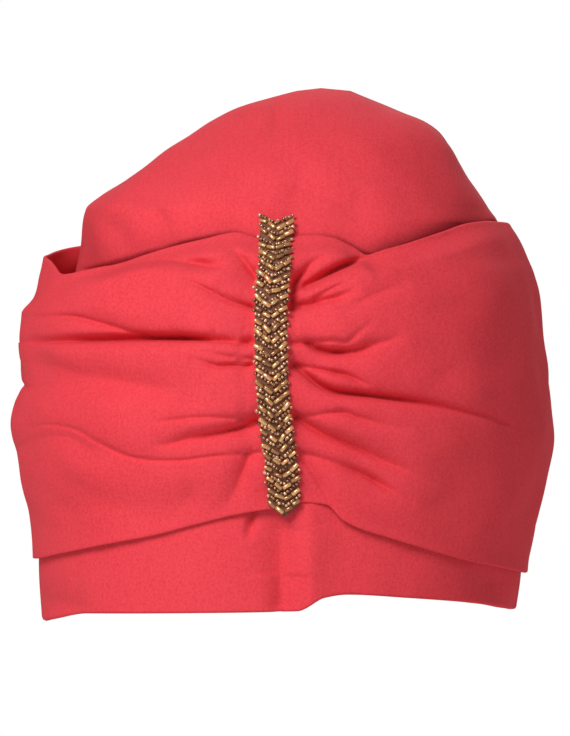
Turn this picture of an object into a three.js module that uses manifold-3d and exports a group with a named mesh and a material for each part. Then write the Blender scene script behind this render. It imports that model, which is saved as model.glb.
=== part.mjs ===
// A pull-on turban headwrap of knitted jersey with a beaded strip, in the form it has on a head.
// Millimetres, +Z up. The front faces -Y, and +X is to the right of someone who looks at the front.
// The origin is the middle of the head opening, in the plane of the lowest point of the hem.
import * as THREE from "three";
import { mergeVertices } from "three/addons/utils/BufferGeometryUtils.js";
import Module from "manifold-3d";

// Driving dimensions
const CAP_WALL = 2; // doubled jersey of the crown and headband
const DRAPE_WALL = 1.6; // jersey of the drape
const GAP = 0.3; // clearance between pieces that touch
const LAY = 0.7; // the least distance from the cap to the inside of the drape
const ROUNDNESS = 2.3; // power of the oval sections, where 2 is an ellipse
const JOIN_HEIGHT = 65; // where the headband is sewn to the crown, hidden by the drape
const APEX = { x: 14.5, y: 0.5, z: 187.6 };
const EDGE_REACH = 86; // half width that the reach of the drape's edges is measured on

// The grids of the cloth walls, in steps
const CROWN_STEPS = 32;
const HEADBAND_STEPS = 44;
const HEADBAND_ROWS = 4;
const DRAPE_STEPS = 24;
const DRAPE_ROWS = 25;
const FRONT_CROWDING = 1.5; // above 1, the steps are closer together at the front

// Outer sections of the crown and headband: the furthest point each way at a height
const CAP_SECTIONS = [
  { z: 0, left: -84.5, right: 83.3, front: -99, back: 99 },
  { z: 17, left: -85.4, right: 85.7, front: -100.2, back: 100.2 },
  { z: 30, left: -85.5, right: 86.2, front: -100.5, back: 100.5 },
  { z: 65, left: -83.4, right: 85, front: -100, back: 101 },
  { z: 100, left: -77.5, right: 81.5, front: -96, back: 99 },
  { z: 120, left: -72.5, right: 79, front: -91, back: 95.5 },
  { z: 133, left: -69.8, right: 78, front: -87, back: 91.5 },
  { z: 140, left: -69.5, right: 77.2, front: -84, back: 88.8 },
  { z: 145, left: -68.5, right: 74, front: -81.5, back: 86.3 },
  { z: 149, left: -64.2, right: 71.6, front: -79, back: 84 },
  { z: 155, left: -55.2, right: 67.8, front: -74.5, back: 79.5 },
  { z: 161, left: -46.1, right: 64.3, front: -69, back: 73.8 },
  { z: 167, left: -37.1, right: 61, front: -62, back: 66.5 },
  { z: 172, left: -29.6, right: 57, front: -54.5, back: 58.5 },
  { z: 176, left: -23.5, right: 51.3, front: -47, back: 50.5 },
  { z: 180, left: -16.5, right: 41.8, front: -37.5, back: 40.5 },
  { z: 184, left: -3.6, right: 31.5, front: -24.5, back: 26.5 },
  { z: 186.6, left: 6, right: 25, front: -11.5, back: 12.5 },
];

// Heights of the crown's rings above the join, closer together where the crown turns over
const CROWN_RINGS = [65, 92, 115, 124, 133, 140, 145, 149, 154, 160, 166, 172, 177, 180.5, 184, 186.6];

// Outer sections of the drape before its folds
const DRAPE_SECTIONS = [
  { z: 16, left: -86.4, right: 87.5, front: -101.8, back: 104 },
  { z: 30, left: -87.8, right: 90.3, front: -102.6, back: 106 },
  { z: 38, left: -88.9, right: 92, front: -103.8, back: 107.5 },
  { z: 45, left: -90.6, right: 93.5, front: -105.4, back: 108.7 },
  { z: 53, left: -92.7, right: 94.9, front: -107.6, back: 110 },
  { z: 66, left: -94.9, right: 96.5, front: -110.3, back: 111.5 },
  { z: 76, left: -93.6, right: 96, front: -111.3, back: 111.5 },
  { z: 83, left: -91.4, right: 95.3, front: -111.6, back: 111 },
  { z: 97, left: -92.7, right: 93.4, front: -110.8, back: 109.5 },
  { z: 108, left: -91.7, right: 92, front: -109, back: 107.5 },
  { z: 114, left: -87.6, right: 91.2, front: -107.4, back: 106 },
  { z: 122, left: -84.9, right: 89.5, front: -104, back: 103.5 },
  { z: 127, left: -84, right: 87.3, front: -101, back: 101.8 },
  { z: 135, left: -82.8, right: 84.1, front: -96, back: 98.5 },
  { z: 140, left: -82, right: 81, front: -93, back: 96 },
];

// Lower hem and upper edge of each half of the drape. Reach is the distance out from the centre front, and past the
// side it goes on round to the centre back.
const DRAPE_EDGES = {
  left: [
    { reach: 0, hem: 40.2, top: 132.8 },
    { reach: 7, hem: 39.4, top: 133.4 },
    { reach: 17, hem: 37.6, top: 135.6 },
    { reach: 31, hem: 34, top: 133.2 },
    { reach: 44.5, hem: 30.4, top: 130.5 },
    { reach: 56.5, hem: 28, top: 127.5 },
    { reach: 69, hem: 25.4, top: 123.6 },
    { reach: 78, hem: 23.4, top: 121 },
    { reach: 84, hem: 21.9, top: 126 },
    { reach: 88, hem: 21.5, top: 129.2 },
    { reach: 93, hem: 21.1, top: 131.6 },
    { reach: 102, hem: 20, top: 132.8 },
    { reach: 135, hem: 18, top: 134 },
    { reach: 172, hem: 17, top: 134 },
  ],
  right: [
    { reach: 0, hem: 42.6, top: 134 },
    { reach: 14, hem: 41.3, top: 134.6 },
    { reach: 20, hem: 35.6, top: 133.9 },
    { reach: 28, hem: 32, top: 130.7 },
    { reach: 34, hem: 30.2, top: 127.6 },
    { reach: 41, hem: 28, top: 129.6 },
    { reach: 49, hem: 25.6, top: 131.7 },
    { reach: 56, hem: 23.6, top: 133.8 },
    { reach: 64, hem: 21.4, top: 136.2 },
    { reach: 73, hem: 19.6, top: 139 },
    { reach: 80, hem: 18, top: 139.8 },
    { reach: 87, hem: 16.6, top: 139.2 },
    { reach: 105, hem: 16.6, top: 137 },
    { reach: 135, hem: 16.8, top: 135 },
    { reach: 172, hem: 17, top: 134 },
  ],
};

// How far the drape's upper edge is drawn in to the crown, as a share from 0 to 1, and over what drop below the edge
const EDGE_TUCK = {
  left: [
    { reach: 0, share: 1, drop: 7 },
    { reach: 60, share: 1, drop: 7 },
    { reach: 76, share: 0.1, drop: 7 },
    { reach: 85, share: 0, drop: 20 },
    { reach: 93, share: 0.95, drop: 24 },
    { reach: 106, share: 1, drop: 22 },
    { reach: 172, share: 1, drop: 18 },
  ],
  right: [
    { reach: 0, share: 1, drop: 7 },
    { reach: 62, share: 1, drop: 7 },
    { reach: 80, share: 0.1, drop: 7 },
    { reach: 96, share: 0.1, drop: 12 },
    { reach: 112, share: 0.9, drop: 18 },
    { reach: 172, share: 1, drop: 18 },
  ],
};

// Folds of the drape. Each one runs from the beads outwards through points of reach and height. Its valley is depth
// deep at the beads, halfway and at its end, and fades over the widths above and below its line.
const DRAPE_FOLDS = {
  left: [
    { line: [[18, 131], [14, 126.5], [8.5, 120]], depth: [1.5, 3.5, 4], above: 3.5, below: 5 },
    { line: [[19, 124.6], [30, 124.8], [44.5, 126.2], [63, 124.6]], depth: [1.5, 4, 1.5], above: 7, below: 3 },
    { line: [[6, 107], [17, 111], [35, 119.6]], depth: [4, 2.5, 0], above: 3.5, below: 5.5 },
    { line: [[6, 97], [35, 98.4], [64, 98.3], [90, 97.5]], depth: [3.5, 6, 1], above: 8, below: 3.5 },
    { line: [[50, 100], [68, 105], [87, 106]], depth: [1, 2, 0.4], above: 3.5, below: 3.5 },
    { line: [[6, 89.5], [20, 90], [34, 94.5]], depth: [3, 2, 0], above: 3.5, below: 3.5 },
    { line: [[16, 77.4], [37, 79.3], [66, 85.2], [87, 90.6]], depth: [0.5, 2.8, 0.8], above: 5, below: 7 },
    { line: [[6, 71], [16, 68.5], [30, 65], [46, 61]], depth: [5, 4.5, 0], above: 4, below: 6 },
    { line: [[6, 59], [28, 57], [52, 57], [70, 65.6], [90, 67]], depth: [1.5, 1.5, 0.8], above: 4, below: 5 },
    { line: [[11, 57.5], [14, 49], [20, 38]], depth: [2.5, 2.8, 0.5], above: 4, below: 4 },
  ],
  right: [
    { line: [[4.4, 112], [6.6, 120], [17, 128.5]], depth: [4, 4, 0.5], above: 3, below: 3.5 },
    { line: [[6, 115], [18, 121], [28, 125.3], [38, 128.6]], depth: [5, 6, 5], above: 6, below: 3.5 },
    { line: [[6, 109.6], [16, 112], [28, 117]], depth: [4.5, 4, 0], above: 3.5, below: 3.5 },
    { line: [[6, 97], [14, 95], [24, 94], [44, 100]], depth: [4, 5.5, 0], above: 3.5, below: 5.5 },
    { line: [[6, 89], [14, 82.5], [26, 79.2], [53, 76], [80, 68.6]], depth: [4, 5.5, 1], above: 6, below: 3.5 },
    { line: [[6, 71], [18, 64.6], [35, 57.3], [55, 46.4]], depth: [4.5, 4.5, 0], above: 4.5, below: 6 },
    { line: [[6, 58.2], [18, 56], [31, 51], [48, 40.2]], depth: [1.5, 3.2, 0], above: 3.5, below: 4.5 },
    { line: [[8, 57], [14.3, 48.4], [19, 40]], depth: [0.8, 1.6, 0.8], above: 3.5, below: 3.5 },
  ],
};

// Soft dents of the crown, as points of x and z on the front
const CROWN_DENTS = [
  { line: [[-3, 186], [-1.5, 178], [-2.5, 168]], depth: [0.8, 1.2, 0], above: 3, below: 3 },
  { line: [[-68, 146], [-60, 138], [-55, 131]], depth: [0.5, 1.5, 0.5], above: 5, below: 5 },
  { line: [[-50, 153], [-46, 142], [-44, 133]], depth: [0, 1.5, 1.5], above: 6, below: 6 },
  { line: [[8, 150], [22, 147], [38, 138]], depth: [0.5, 1.5, 0.5], above: 6, below: 6 },
];

// Bottom hem of the headband across the front. Round the back it is level and higher.
const HEADBAND_HEM = [
  { x: -84, z: 0 },
  { x: -69, z: 3.2 },
  { x: -49, z: 3.4 },
  { x: 6, z: 4.3 },
  { x: 15, z: 9 },
  { x: 23, z: 10.1 },
  { x: 44, z: 8.9 },
  { x: 72, z: 6.4 },
  { x: 84, z: 3.9 },
];
const BACK_HEM = 12;
const HEM_TURNS_BACK = 80; // how far behind the sides the front's hem has become the back's

// Upright folds of the headband, as points of x and z on the front. A depth below zero stands out as a ridge.
const HEADBAND_FOLDS = [
  { line: [[-2, 32], [-2, 6]], depth: [1, 2, 2], above: 3, below: 4 },
  { line: [[7, 36], [8, 6]], depth: [0, -1.6, -2], above: 5, below: 5 },
  { line: [[60, 22], [72, 12]], depth: [0.5, 1.2, 0.5], above: 5, below: 5 },
];

// The beaded strip
const STRIP_LINE = [
  { x: -1.1, z: 142.4 },
  { x: -1.4, z: 136 },
  { x: -1.8, z: 125 },
  { x: -3.2, z: 112 },
  { x: -3.2, z: 97 },
  { x: -1.8, z: 72 },
  { x: 0.5, z: 55 },
  { x: 1.4, z: 42 },
  { x: 1.8, z: 36 },
];
const STRIP_HALF_WIDTH = 6;
const STRIP_BACKING = 0.9;
const CHEVRON_SLOPE = Math.PI / 5.4;
const CHEVRON_ROWS = 25;
const BUGLES_PER_ARM = 2;
const BUGLE = { radius: 0.8, length: 2.9, gap: 0.3, fromMiddle: 0.55, sides: 6, sunk: 0.08 };
const STRIP_CLEARANCE = 1.1; // from the strip's curve to the cloth at its middle, which rises at the strip's edges
const STRIP_TO_CROWN = 138; // above this height the strip lies on the crown
const STRIP_PULL = 2.2; // how far the drape is drawn in under the strip
const PULL_WIDTH = { flat: 6.4, end: 24 };
const FOLD_START = { from: 5, full: 10 }; // distance from the strip's middle where the folds begin

const JERSEY = { color: 0xe04553, roughness: 0.9, metalness: 0 };
const BEADS = { color: 0x967042, roughness: 0.35, metalness: 0.8 };

// The value in a column of a table, at a place in its first column, along a curve that never overshoots a row.
function valueAt(table, column, key, place) {
  const last = table.length - 1;
  if (place <= table[0][key]) return table[0][column];
  if (place >= table[last][key]) return table[last][column];
  const slope = (i) => (table[i + 1][column] - table[i][column]) / (table[i + 1][key] - table[i][key]);
  const tangent = (i) => {
    if (i === 0 || i === last) return slope(Math.max(0, i - 1));
    const [before, after] = [slope(i - 1), slope(i)];
    return before * after <= 0 ? 0 : (2 * before * after) / (before + after);
  };
  const row = table.findIndex((_, i) => place < table[i + 1][key]);
  const step = table[row + 1][key] - table[row][key];
  const t = (place - table[row][key]) / step;
  const [start, end] = [table[row][column], table[row + 1][column]];
  const rise = tangent(row) * step * t * (1 - t) ** 2 - tangent(row + 1) * step * t ** 2 * (1 - t);
  return start + (end - start) * t * t * (3 - 2 * t) + rise;
}

// The middle and half sizes of an oval section at a height.
function ovalAt(sections, z) {
  const [left, right, front, back] = ["left", "right", "front", "back"].map((c) => valueAt(sections, c, "z", z));
  return {
    x: (left + right) / 2,
    y: (front + back) / 2,
    halfX: (right - left) / 2,
    halfY: (back - front) / 2,
  };
}

// A point on an oval. The turn is 0 at the centre front, a quarter turn at the right side and minus that at the left.
function onOval(oval, turn, z) {
  const across = Math.sign(Math.sin(turn)) * Math.abs(Math.sin(turn)) ** (2 / ROUNDNESS);
  const along = Math.sign(Math.cos(turn)) * Math.abs(Math.cos(turn)) ** (2 / ROUNDNESS);
  return new THREE.Vector3(oval.x + oval.halfX * across, oval.y - oval.halfY * along, z);
}

// The level direction straight out of an oval at a point on it.
function outOfOval(oval, point) {
  const [u, v] = [(point.x - oval.x) / oval.halfX, (point.y - oval.y) / oval.halfY];
  const power = ROUNDNESS - 1;
  const x = (Math.sign(u) * Math.abs(u) ** power) / oval.halfX;
  const y = (Math.sign(v) * Math.abs(v) ** power) / oval.halfY;
  return new THREE.Vector3(x, y, 0).normalize();
}

// How deep the folds of a list lie at a place on the cloth, given as a flat point.
function foldDepth(folds, x, y) {
  const place = new THREE.Vector2(x, y);
  let total = 0;
  for (const { curve, depth, above, below } of folds) {
    let nearest = { distance: Infinity };
    for (let i = 0; i < curve.length - 1; i++) {
      const along = curve[i + 1].clone().sub(curve[i]);
      const offset = place.clone().sub(curve[i]);
      const t = THREE.MathUtils.clamp(offset.dot(along) / along.lengthSq(), 0, 1);
      const distance = offset.distanceTo(along.clone().multiplyScalar(t));
      const outwards = along.x >= 0 ? 1 : -1;
      if (distance < nearest.distance) {
        nearest = { distance, side: outwards * along.cross(offset), t: (i + t) / (curve.length - 1) };
      }
    }
    const width = nearest.side > 0 ? above : below;
    const [start, middle, end] = depth;
    const deep = nearest.t < 0.5
      ? THREE.MathUtils.lerp(start, middle, 2 * nearest.t)
      : THREE.MathUtils.lerp(middle, end, 2 * nearest.t - 1);
    total += deep * Math.exp(-((nearest.distance / width) ** 2));
  }
  return total;
}

// Turns the lines of a list of folds into smooth curves.
function smoothFolds(folds) {
  const STEPS_PER_SPAN = 4;
  return folds.map((fold) => {
    const spline = new THREE.SplineCurve(fold.line.map(([x, y]) => new THREE.Vector2(x, y)));
    return { ...fold, curve: spline.getPoints(STEPS_PER_SPAN * (fold.line.length - 1)) };
  });
}

// A closed wall between two grids of points, each a list of rows from the bottom up. A round wall joins its last
// column to its first, and a pole is the pair of points that close it at the top.
function wallGeometry(outer, inner, { round = false, pole = null } = {}) {
  const rows = outer.length;
  const columns = outer[0].length;
  const points = [...outer.flat(), ...inner.flat(), ...(pole ?? [])];
  const outerAt = (row, column) => row * columns + (column % columns);
  const innerAt = (row, column) => rows * columns + outerAt(row, column);
  const faces = [];
  const quad = (a, b, c, d) => faces.push(a, b, c, a, c, d);
  const spans = round ? columns : columns - 1;
  for (let c = 0; c < spans; c++) {
    for (let r = 0; r < rows - 1; r++) {
      quad(outerAt(r, c), outerAt(r, c + 1), outerAt(r + 1, c + 1), outerAt(r + 1, c));
      quad(innerAt(r, c), innerAt(r + 1, c), innerAt(r + 1, c + 1), innerAt(r, c + 1));
    }
    quad(outerAt(0, c), innerAt(0, c), innerAt(0, c + 1), outerAt(0, c + 1));
    const top = rows - 1;
    if (pole) {
      faces.push(outerAt(top, c), outerAt(top, c + 1), 2 * rows * columns);
      faces.push(innerAt(top, c + 1), innerAt(top, c), 2 * rows * columns + 1);
    } else {
      quad(outerAt(top, c), outerAt(top, c + 1), innerAt(top, c + 1), innerAt(top, c));
    }
  }
  for (let r = 0; r < rows - 1 && !round; r++) {
    const end = columns - 1;
    quad(outerAt(r, 0), outerAt(r + 1, 0), innerAt(r + 1, 0), innerAt(r, 0));
    quad(outerAt(r, end), innerAt(r, end), innerAt(r + 1, end), outerAt(r + 1, end));
  }
  const geometry = new THREE.BufferGeometry().setFromPoints(points);
  geometry.setIndex(faces);
  return geometry;
}

// The turns of a round wall's columns, closer together at the front.
function roundTurns(steps) {
  return Array.from({ length: steps }, (_, i) => {
    const t = (2 * i) / steps - 1;
    return Math.PI * Math.sign(t) * Math.abs(t) ** ((1 + FRONT_CROWDING) / 2);
  });
}

// The outward direction of a smooth surface at a turn and height, leaning up where the sections shrink.
function outOfSections(sections, turn, z) {
  const STEP = 0.5;
  const here = onOval(ovalAt(sections, z), turn, z);
  const higher = onOval(ovalAt(sections, z + STEP), turn, z + STEP);
  const level = outOfOval(ovalAt(sections, z), here);
  const lean = higher.sub(here).dot(level) / STEP;
  return new THREE.Vector3(level.x, level.y, -lean).normalize();
}

function crownGeometry() {
  const dents = smoothFolds(CROWN_DENTS);
  const turns = roundTurns(CROWN_STEPS);
  const lowest = JOIN_HEIGHT + GAP / 2;
  const surface = (depth) => CROWN_RINGS.map((ring) => turns.map((turn) => {
    const z = Math.max(ring, lowest);
    const point = onOval(ovalAt(CAP_SECTIONS, z), turn, z);
    const out = outOfSections(CAP_SECTIONS, turn, z);
    const dent = point.y < 0 ? foldDepth(dents, point.x, z) : 0;
    if (ring === CROWN_RINGS[0]) out.setZ(0).normalize();
    return point.addScaledVector(out, -dent - depth);
  }));
  const apex = new THREE.Vector3(APEX.x, APEX.y, APEX.z);
  const insideApex = apex.clone().setZ(APEX.z - CAP_WALL);
  return wallGeometry(surface(0), surface(CAP_WALL), { round: true, pole: [apex, insideApex] });
}

function headbandGeometry() {
  const folds = smoothFolds(HEADBAND_FOLDS);
  const turns = roundTurns(HEADBAND_STEPS);
  const highest = JOIN_HEIGHT - GAP / 2;
  const surface = (depth) => Array.from({ length: HEADBAND_ROWS + 1 }, (_, row) => turns.map((turn) => {
    const hemPoint = onOval(ovalAt(CAP_SECTIONS, 0), turn, 0);
    const frontHem = valueAt(HEADBAND_HEM, "z", "x", hemPoint.x);
    const towardsBack = THREE.MathUtils.smoothstep(hemPoint.y, 0, HEM_TURNS_BACK);
    const hem = THREE.MathUtils.lerp(frontHem, BACK_HEM, towardsBack);
    const z = THREE.MathUtils.lerp(hem, highest, row / HEADBAND_ROWS);
    const oval = ovalAt(CAP_SECTIONS, z);
    const point = onOval(oval, turn, z);
    const fold = point.y < 0 ? foldDepth(folds, point.x, z) : 0;
    return point.addScaledVector(outOfOval(oval, point), -fold - depth);
  }));
  return wallGeometry(surface(0), surface(CAP_WALL), { round: true });
}

// The middle of the beaded strip, side to side, at a height.
function stripMiddle(z) {
  const upwards = [...STRIP_LINE].reverse();
  return valueAt(upwards, "x", "z", z);
}

// A point moved level, in or out from an oval's middle. Its share is 1 at a clearance outside the oval.
function scaledTo(oval, clearance, point, scale) {
  const [x, y] = [point.x - oval.x, point.y - oval.y];
  const u = Math.abs(x) / (oval.halfX + clearance);
  const v = Math.abs(y) / (oval.halfY + clearance);
  const factor = scale((u ** ROUNDNESS + v ** ROUNDNESS) ** (1 / ROUNDNESS));
  return new THREE.Vector3(oval.x + x * factor, oval.y + y * factor, point.z);
}

// The outer and inner point of the drape at a turn and height, with its folds.
function drapePoints(side, folds, turn, z) {
  const oval = ovalAt(DRAPE_SECTIONS, z);
  const point = onOval(oval, turn, z);
  const out = outOfOval(oval, point);
  const width = side === "left" ? oval.halfX - oval.x : oval.halfX + oval.x;
  const across = Math.abs(point.x);
  const reach = point.y < oval.y ? across : 2 * width - across;
  const fromStrip = point.y < 0 ? Math.abs(point.x - stripMiddle(z)) : width;
  const pull = STRIP_PULL * (1 - THREE.MathUtils.smoothstep(fromStrip, PULL_WIDTH.flat, PULL_WIDTH.end));
  const foldShare = THREE.MathUtils.smoothstep(fromStrip, FOLD_START.from, FOLD_START.full);
  point.addScaledVector(out, -pull - foldShare * foldDepth(folds, reach, z));
  const cap = ovalAt(CAP_SECTIONS, z);
  const drop = valueAt(DRAPE_EDGES[side], "top", "reach", reach) - z;
  const tuck = valueAt(EDGE_TUCK[side], "share", "reach", reach)
    * (1 - THREE.MathUtils.smoothstep(drop, 0, valueAt(EDGE_TUCK[side], "drop", "reach", reach)));
  const tucked = scaledTo(cap, DRAPE_WALL + LAY, point, (share) => 1 / Math.max(share, 1));
  point.lerp(tucked, tuck);
  // The cloth lies on the cap where a fold would go through it.
  const inside = point.clone().addScaledVector(out, -DRAPE_WALL);
  const pushed = scaledTo(cap, LAY, inside, (share) => 1 / Math.min(share, 1));
  point.add(pushed).sub(inside);
  return { point, inside: pushed };
}

function drapeGeometry(side) {
  const folds = smoothFolds(DRAPE_FOLDS[side]);
  const edges = DRAPE_EDGES[side];
  const direction = side === "left" ? -1 : 1;
  const outer = [];
  const inner = [];
  for (let row = 0; row <= DRAPE_ROWS; row++) {
    outer.push([]);
    inner.push([]);
    for (let step = 0; step <= DRAPE_STEPS; step++) {
      const t = (step / DRAPE_STEPS) ** FRONT_CROWDING;
      const share = Math.sin(Math.PI * t) ** (2 / ROUNDNESS);
      const reach = EDGE_REACH * (t < 0.5 ? share : 2 - share);
      const hem = valueAt(edges, "hem", "reach", reach);
      const top = valueAt(edges, "top", "reach", reach);
      const z = THREE.MathUtils.lerp(hem, top, row / DRAPE_ROWS);
      // The first column is at the middle of the strip, and the last at the centre back.
      const oval = ovalAt(DRAPE_SECTIONS, z);
      const start = (stripMiddle(z) - oval.x + (direction * GAP) / 2) / oval.halfX;
      const startTurn = Math.sign(start) * Math.asin(Math.abs(start) ** (ROUNDNESS / 2));
      const end = (direction * GAP) / 2 / oval.halfX;
      const endTurn = direction * (Math.PI - Math.asin(Math.abs(end) ** (ROUNDNESS / 2)));
      const turn = THREE.MathUtils.lerp(startTurn, endTurn, t);
      const { point, inside } = drapePoints(side, folds, turn, z);
      outer[row].push(point);
      inner[row].push(inside);
    }
  }
  // The left half's columns run the other way round.
  const inOrder = (grid) => (side === "left" ? grid.map((row) => [...row].reverse()) : grid);
  return wallGeometry(inOrder(outer), inOrder(inner));
}

// The curve that the underside of the beaded strip follows, on the drape and up onto the crown.
function stripCurve() {
  const folds = smoothFolds(DRAPE_FOLDS.left);
  const bottom = valueAt(DRAPE_EDGES.left, "hem", "reach", 0);
  const top = valueAt(DRAPE_EDGES.left, "top", "reach", 0);
  return new THREE.CatmullRomCurve3(STRIP_LINE.map(({ x, z }) => {
    const onDrape = THREE.MathUtils.clamp(z, bottom, top);
    const oval = ovalAt(DRAPE_SECTIONS, onDrape);
    const across = (x - oval.x) / oval.halfX;
    const turn = Math.sign(across) * Math.asin(Math.abs(across) ** (ROUNDNESS / 2));
    const drape = drapePoints("left", folds, turn, onDrape).point.y;
    const crown = ovalAt(CAP_SECTIONS, z).y - ovalAt(CAP_SECTIONS, z).halfY;
    return new THREE.Vector3(x, (z > STRIP_TO_CROWN ? crown : drape) - STRIP_CLEARANCE, z);
  }));
}

// Joins closed meshes into one body.
function joined(wasm, geometries) {
  const solids = geometries.map((geometry) => {
    const bare = geometry.clone();
    bare.deleteAttribute("normal");
    bare.deleteAttribute("uv");
    const merged = mergeVertices(bare, 1e-4);
    return new wasm.Manifold(new wasm.Mesh({
      numProp: 3,
      vertProperties: merged.attributes.position.array,
      triVerts: new Uint32Array(merged.index.array),
    }));
  });
  const mesh = solids.reduce((whole, solid) => whole.add(solid)).getMesh();
  const geometry = new THREE.BufferGeometry();
  geometry.setAttribute("position", new THREE.BufferAttribute(mesh.vertProperties, 3));
  geometry.setIndex(new THREE.BufferAttribute(mesh.triVerts, 1));
  return geometry;
}

// A cut bugle bead with its middle at a point, a flat side outwards.
function bugleGeometry(middle, axis, out) {
  const { radius, length, sides } = BUGLE;
  const corners = Array.from({ length: sides }, (_, i) => {
    const angle = (2 * Math.PI * (i + 0.5)) / sides + Math.PI / 2;
    return new THREE.Vector2(radius * Math.cos(angle), radius * Math.sin(angle));
  });
  const bead = new THREE.ExtrudeGeometry(new THREE.Shape(corners), { depth: length, bevelEnabled: false });
  bead.translate(0, 0, -length / 2);
  const sideways = new THREE.Vector3().crossVectors(out, axis);
  return bead.applyMatrix4(new THREE.Matrix4().makeBasis(sideways, out, axis).setPosition(middle));
}

// The strip's backing is a row of chevrons that point down, with a pair of bugles on each arm of each one.
function stripGeometry(wasm) {
  const curve = stripCurve();
  const length = curve.getLength();
  const rise = Math.tan(CHEVRON_SLOPE) * STRIP_HALF_WIDTH;
  const edge = (row, height) => [-1, 0, 1].map((share) => {
    const distance = rise + ((length - rise) * row) / CHEVRON_ROWS - Math.abs(share) * rise;
    const down = curve.getTangentAt(distance / length);
    const across = new THREE.Vector3(-down.z, 0, down.x).normalize();
    const out = new THREE.Vector3().crossVectors(down, across).normalize();
    const point = curve.getPointAt(distance / length);
    return point.addScaledVector(across, share * STRIP_HALF_WIDTH).addScaledVector(out, height);
  });
  const backing = (height) => Array.from({ length: CHEVRON_ROWS + 1 }, (_, row) => edge(CHEVRON_ROWS - row, height));
  const face = backing(STRIP_BACKING);
  const pieces = [wallGeometry(face, backing(0))];
  for (let row = 0; row < CHEVRON_ROWS; row++) {
    const middle = face[row].map((point, i) => point.clone().lerp(face[row + 1][i], 0.5));
    for (const side of [0, 2]) {
      const axis = middle[side].clone().sub(middle[1]).normalize();
      const up = face[row + 1][1].clone().sub(face[row][1]);
      const out = new THREE.Vector3().crossVectors(axis, up).multiplyScalar(side - 1).normalize();
      for (let place = 0; place < BUGLES_PER_ARM; place++) {
        const alongArm = BUGLE.fromMiddle + BUGLE.length / 2 + place * (BUGLE.length + BUGLE.gap);
        const seat = middle[1].clone().addScaledVector(axis, alongArm).addScaledVector(out, -BUGLE.sunk);
        pieces.push(bugleGeometry(seat, axis, out));
      }
    }
  }
  return joined(wasm, pieces);
}

const wasm = await Module();
wasm.setup();

const turban = new THREE.Group();

function add(name, geometry, finish) {
  geometry.computeVertexNormals();
  const mesh = new THREE.Mesh(geometry, new THREE.MeshStandardMaterial(finish));
  mesh.name = name;
  turban.add(mesh);
}

add("crown", crownGeometry(), JERSEY);
add("headband", headbandGeometry(), JERSEY);
add("drape_left", drapeGeometry("left"), JERSEY);
add("drape_right", drapeGeometry("right"), JERSEY);
add("bead_strip", stripGeometry(wasm), BEADS);

export default turban;
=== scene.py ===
"""A pull-on turban of coral knitted jersey with a beaded strip down its centre front, as it sits on a head.

The tables are in millimetres, in the model's own frame: +Z up, the front faces -Y, and +X is to the right of
someone who looks at the front. The meshes are made in metres.
"""
import math

import bpy
import numpy as np
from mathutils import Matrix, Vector


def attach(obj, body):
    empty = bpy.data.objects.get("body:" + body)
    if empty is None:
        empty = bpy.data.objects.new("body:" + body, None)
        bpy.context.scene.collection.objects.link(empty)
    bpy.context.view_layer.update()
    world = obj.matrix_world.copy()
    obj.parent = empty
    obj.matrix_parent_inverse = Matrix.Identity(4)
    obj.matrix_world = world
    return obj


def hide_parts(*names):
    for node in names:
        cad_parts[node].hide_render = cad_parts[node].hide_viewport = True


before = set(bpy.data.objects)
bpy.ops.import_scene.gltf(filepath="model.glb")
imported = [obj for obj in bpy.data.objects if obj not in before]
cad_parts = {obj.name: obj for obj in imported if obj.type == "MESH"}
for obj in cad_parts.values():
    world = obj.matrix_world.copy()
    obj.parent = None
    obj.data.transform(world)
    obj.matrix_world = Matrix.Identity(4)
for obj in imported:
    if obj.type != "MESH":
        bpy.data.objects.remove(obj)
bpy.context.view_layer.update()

MM = 0.001

# Sizes of the cloth
CAP_WALL = 1.8
DRAPE_WALL = 1.15
LAY = 0.8
ROUNDNESS = 2.3
JOIN_HEIGHT = 65
APEX = (14.5, 0.5, 187.6)
EDGE_REACH = 86
JOIN_GAP = 2.1
SEAM_GAP = 0.08

# Steps of the cloth's grids
CROWN_STEPS = 320
CROWN_ROWS = 130
HEADBAND_STEPS = 420
HEADBAND_ROWS = 70
DRAPE_STEPS = 215
DRAPE_ROWS = 210
ROW_SAMPLES = 600
RIM_TURNS = (45, 90, 135)
SLOPE_STEP = 0.5  # the step up that a wall's slope is measured over

# How the steps crowd together: at the front, at the headband's hem and at the drape's creases, and how wide
# the crowding at a crease is and where it ends
FRONT_CROWDING = 1.5
HEM_CROWDING = 1.3
ROW_CROWDING = 4.5
CREASE_CROWDING = 2.4
CREASE_CROWDING_END = 8

# How close together the crown's rows are: hidden by the drape, in sight, near the apex, and just above the
# drape's edge on the front
HIDDEN_ROWS = 0.15
SHOWN_ROWS_START = (105, 116)
APEX_ROWS = 1.2
APEX_ROWS_START = (165, 180)
EDGE_ROWS = 4
EDGE_ROWS_FRONT = (5, 40)
EDGE_ROWS_WIDTH = 3
EDGE_HEIGHT = 125  # the height whose oval gives each column its place on that edge

# The dome that the crown's knit is laid over: its radius and half width across, and its radius and middle
# height from front to back
KNIT_RADIUS = 78
KNIT_HALF_WIDTH = 90
KNIT_OVER_RADIUS = 100
KNIT_MIDDLE_HEIGHT = 40

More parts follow.
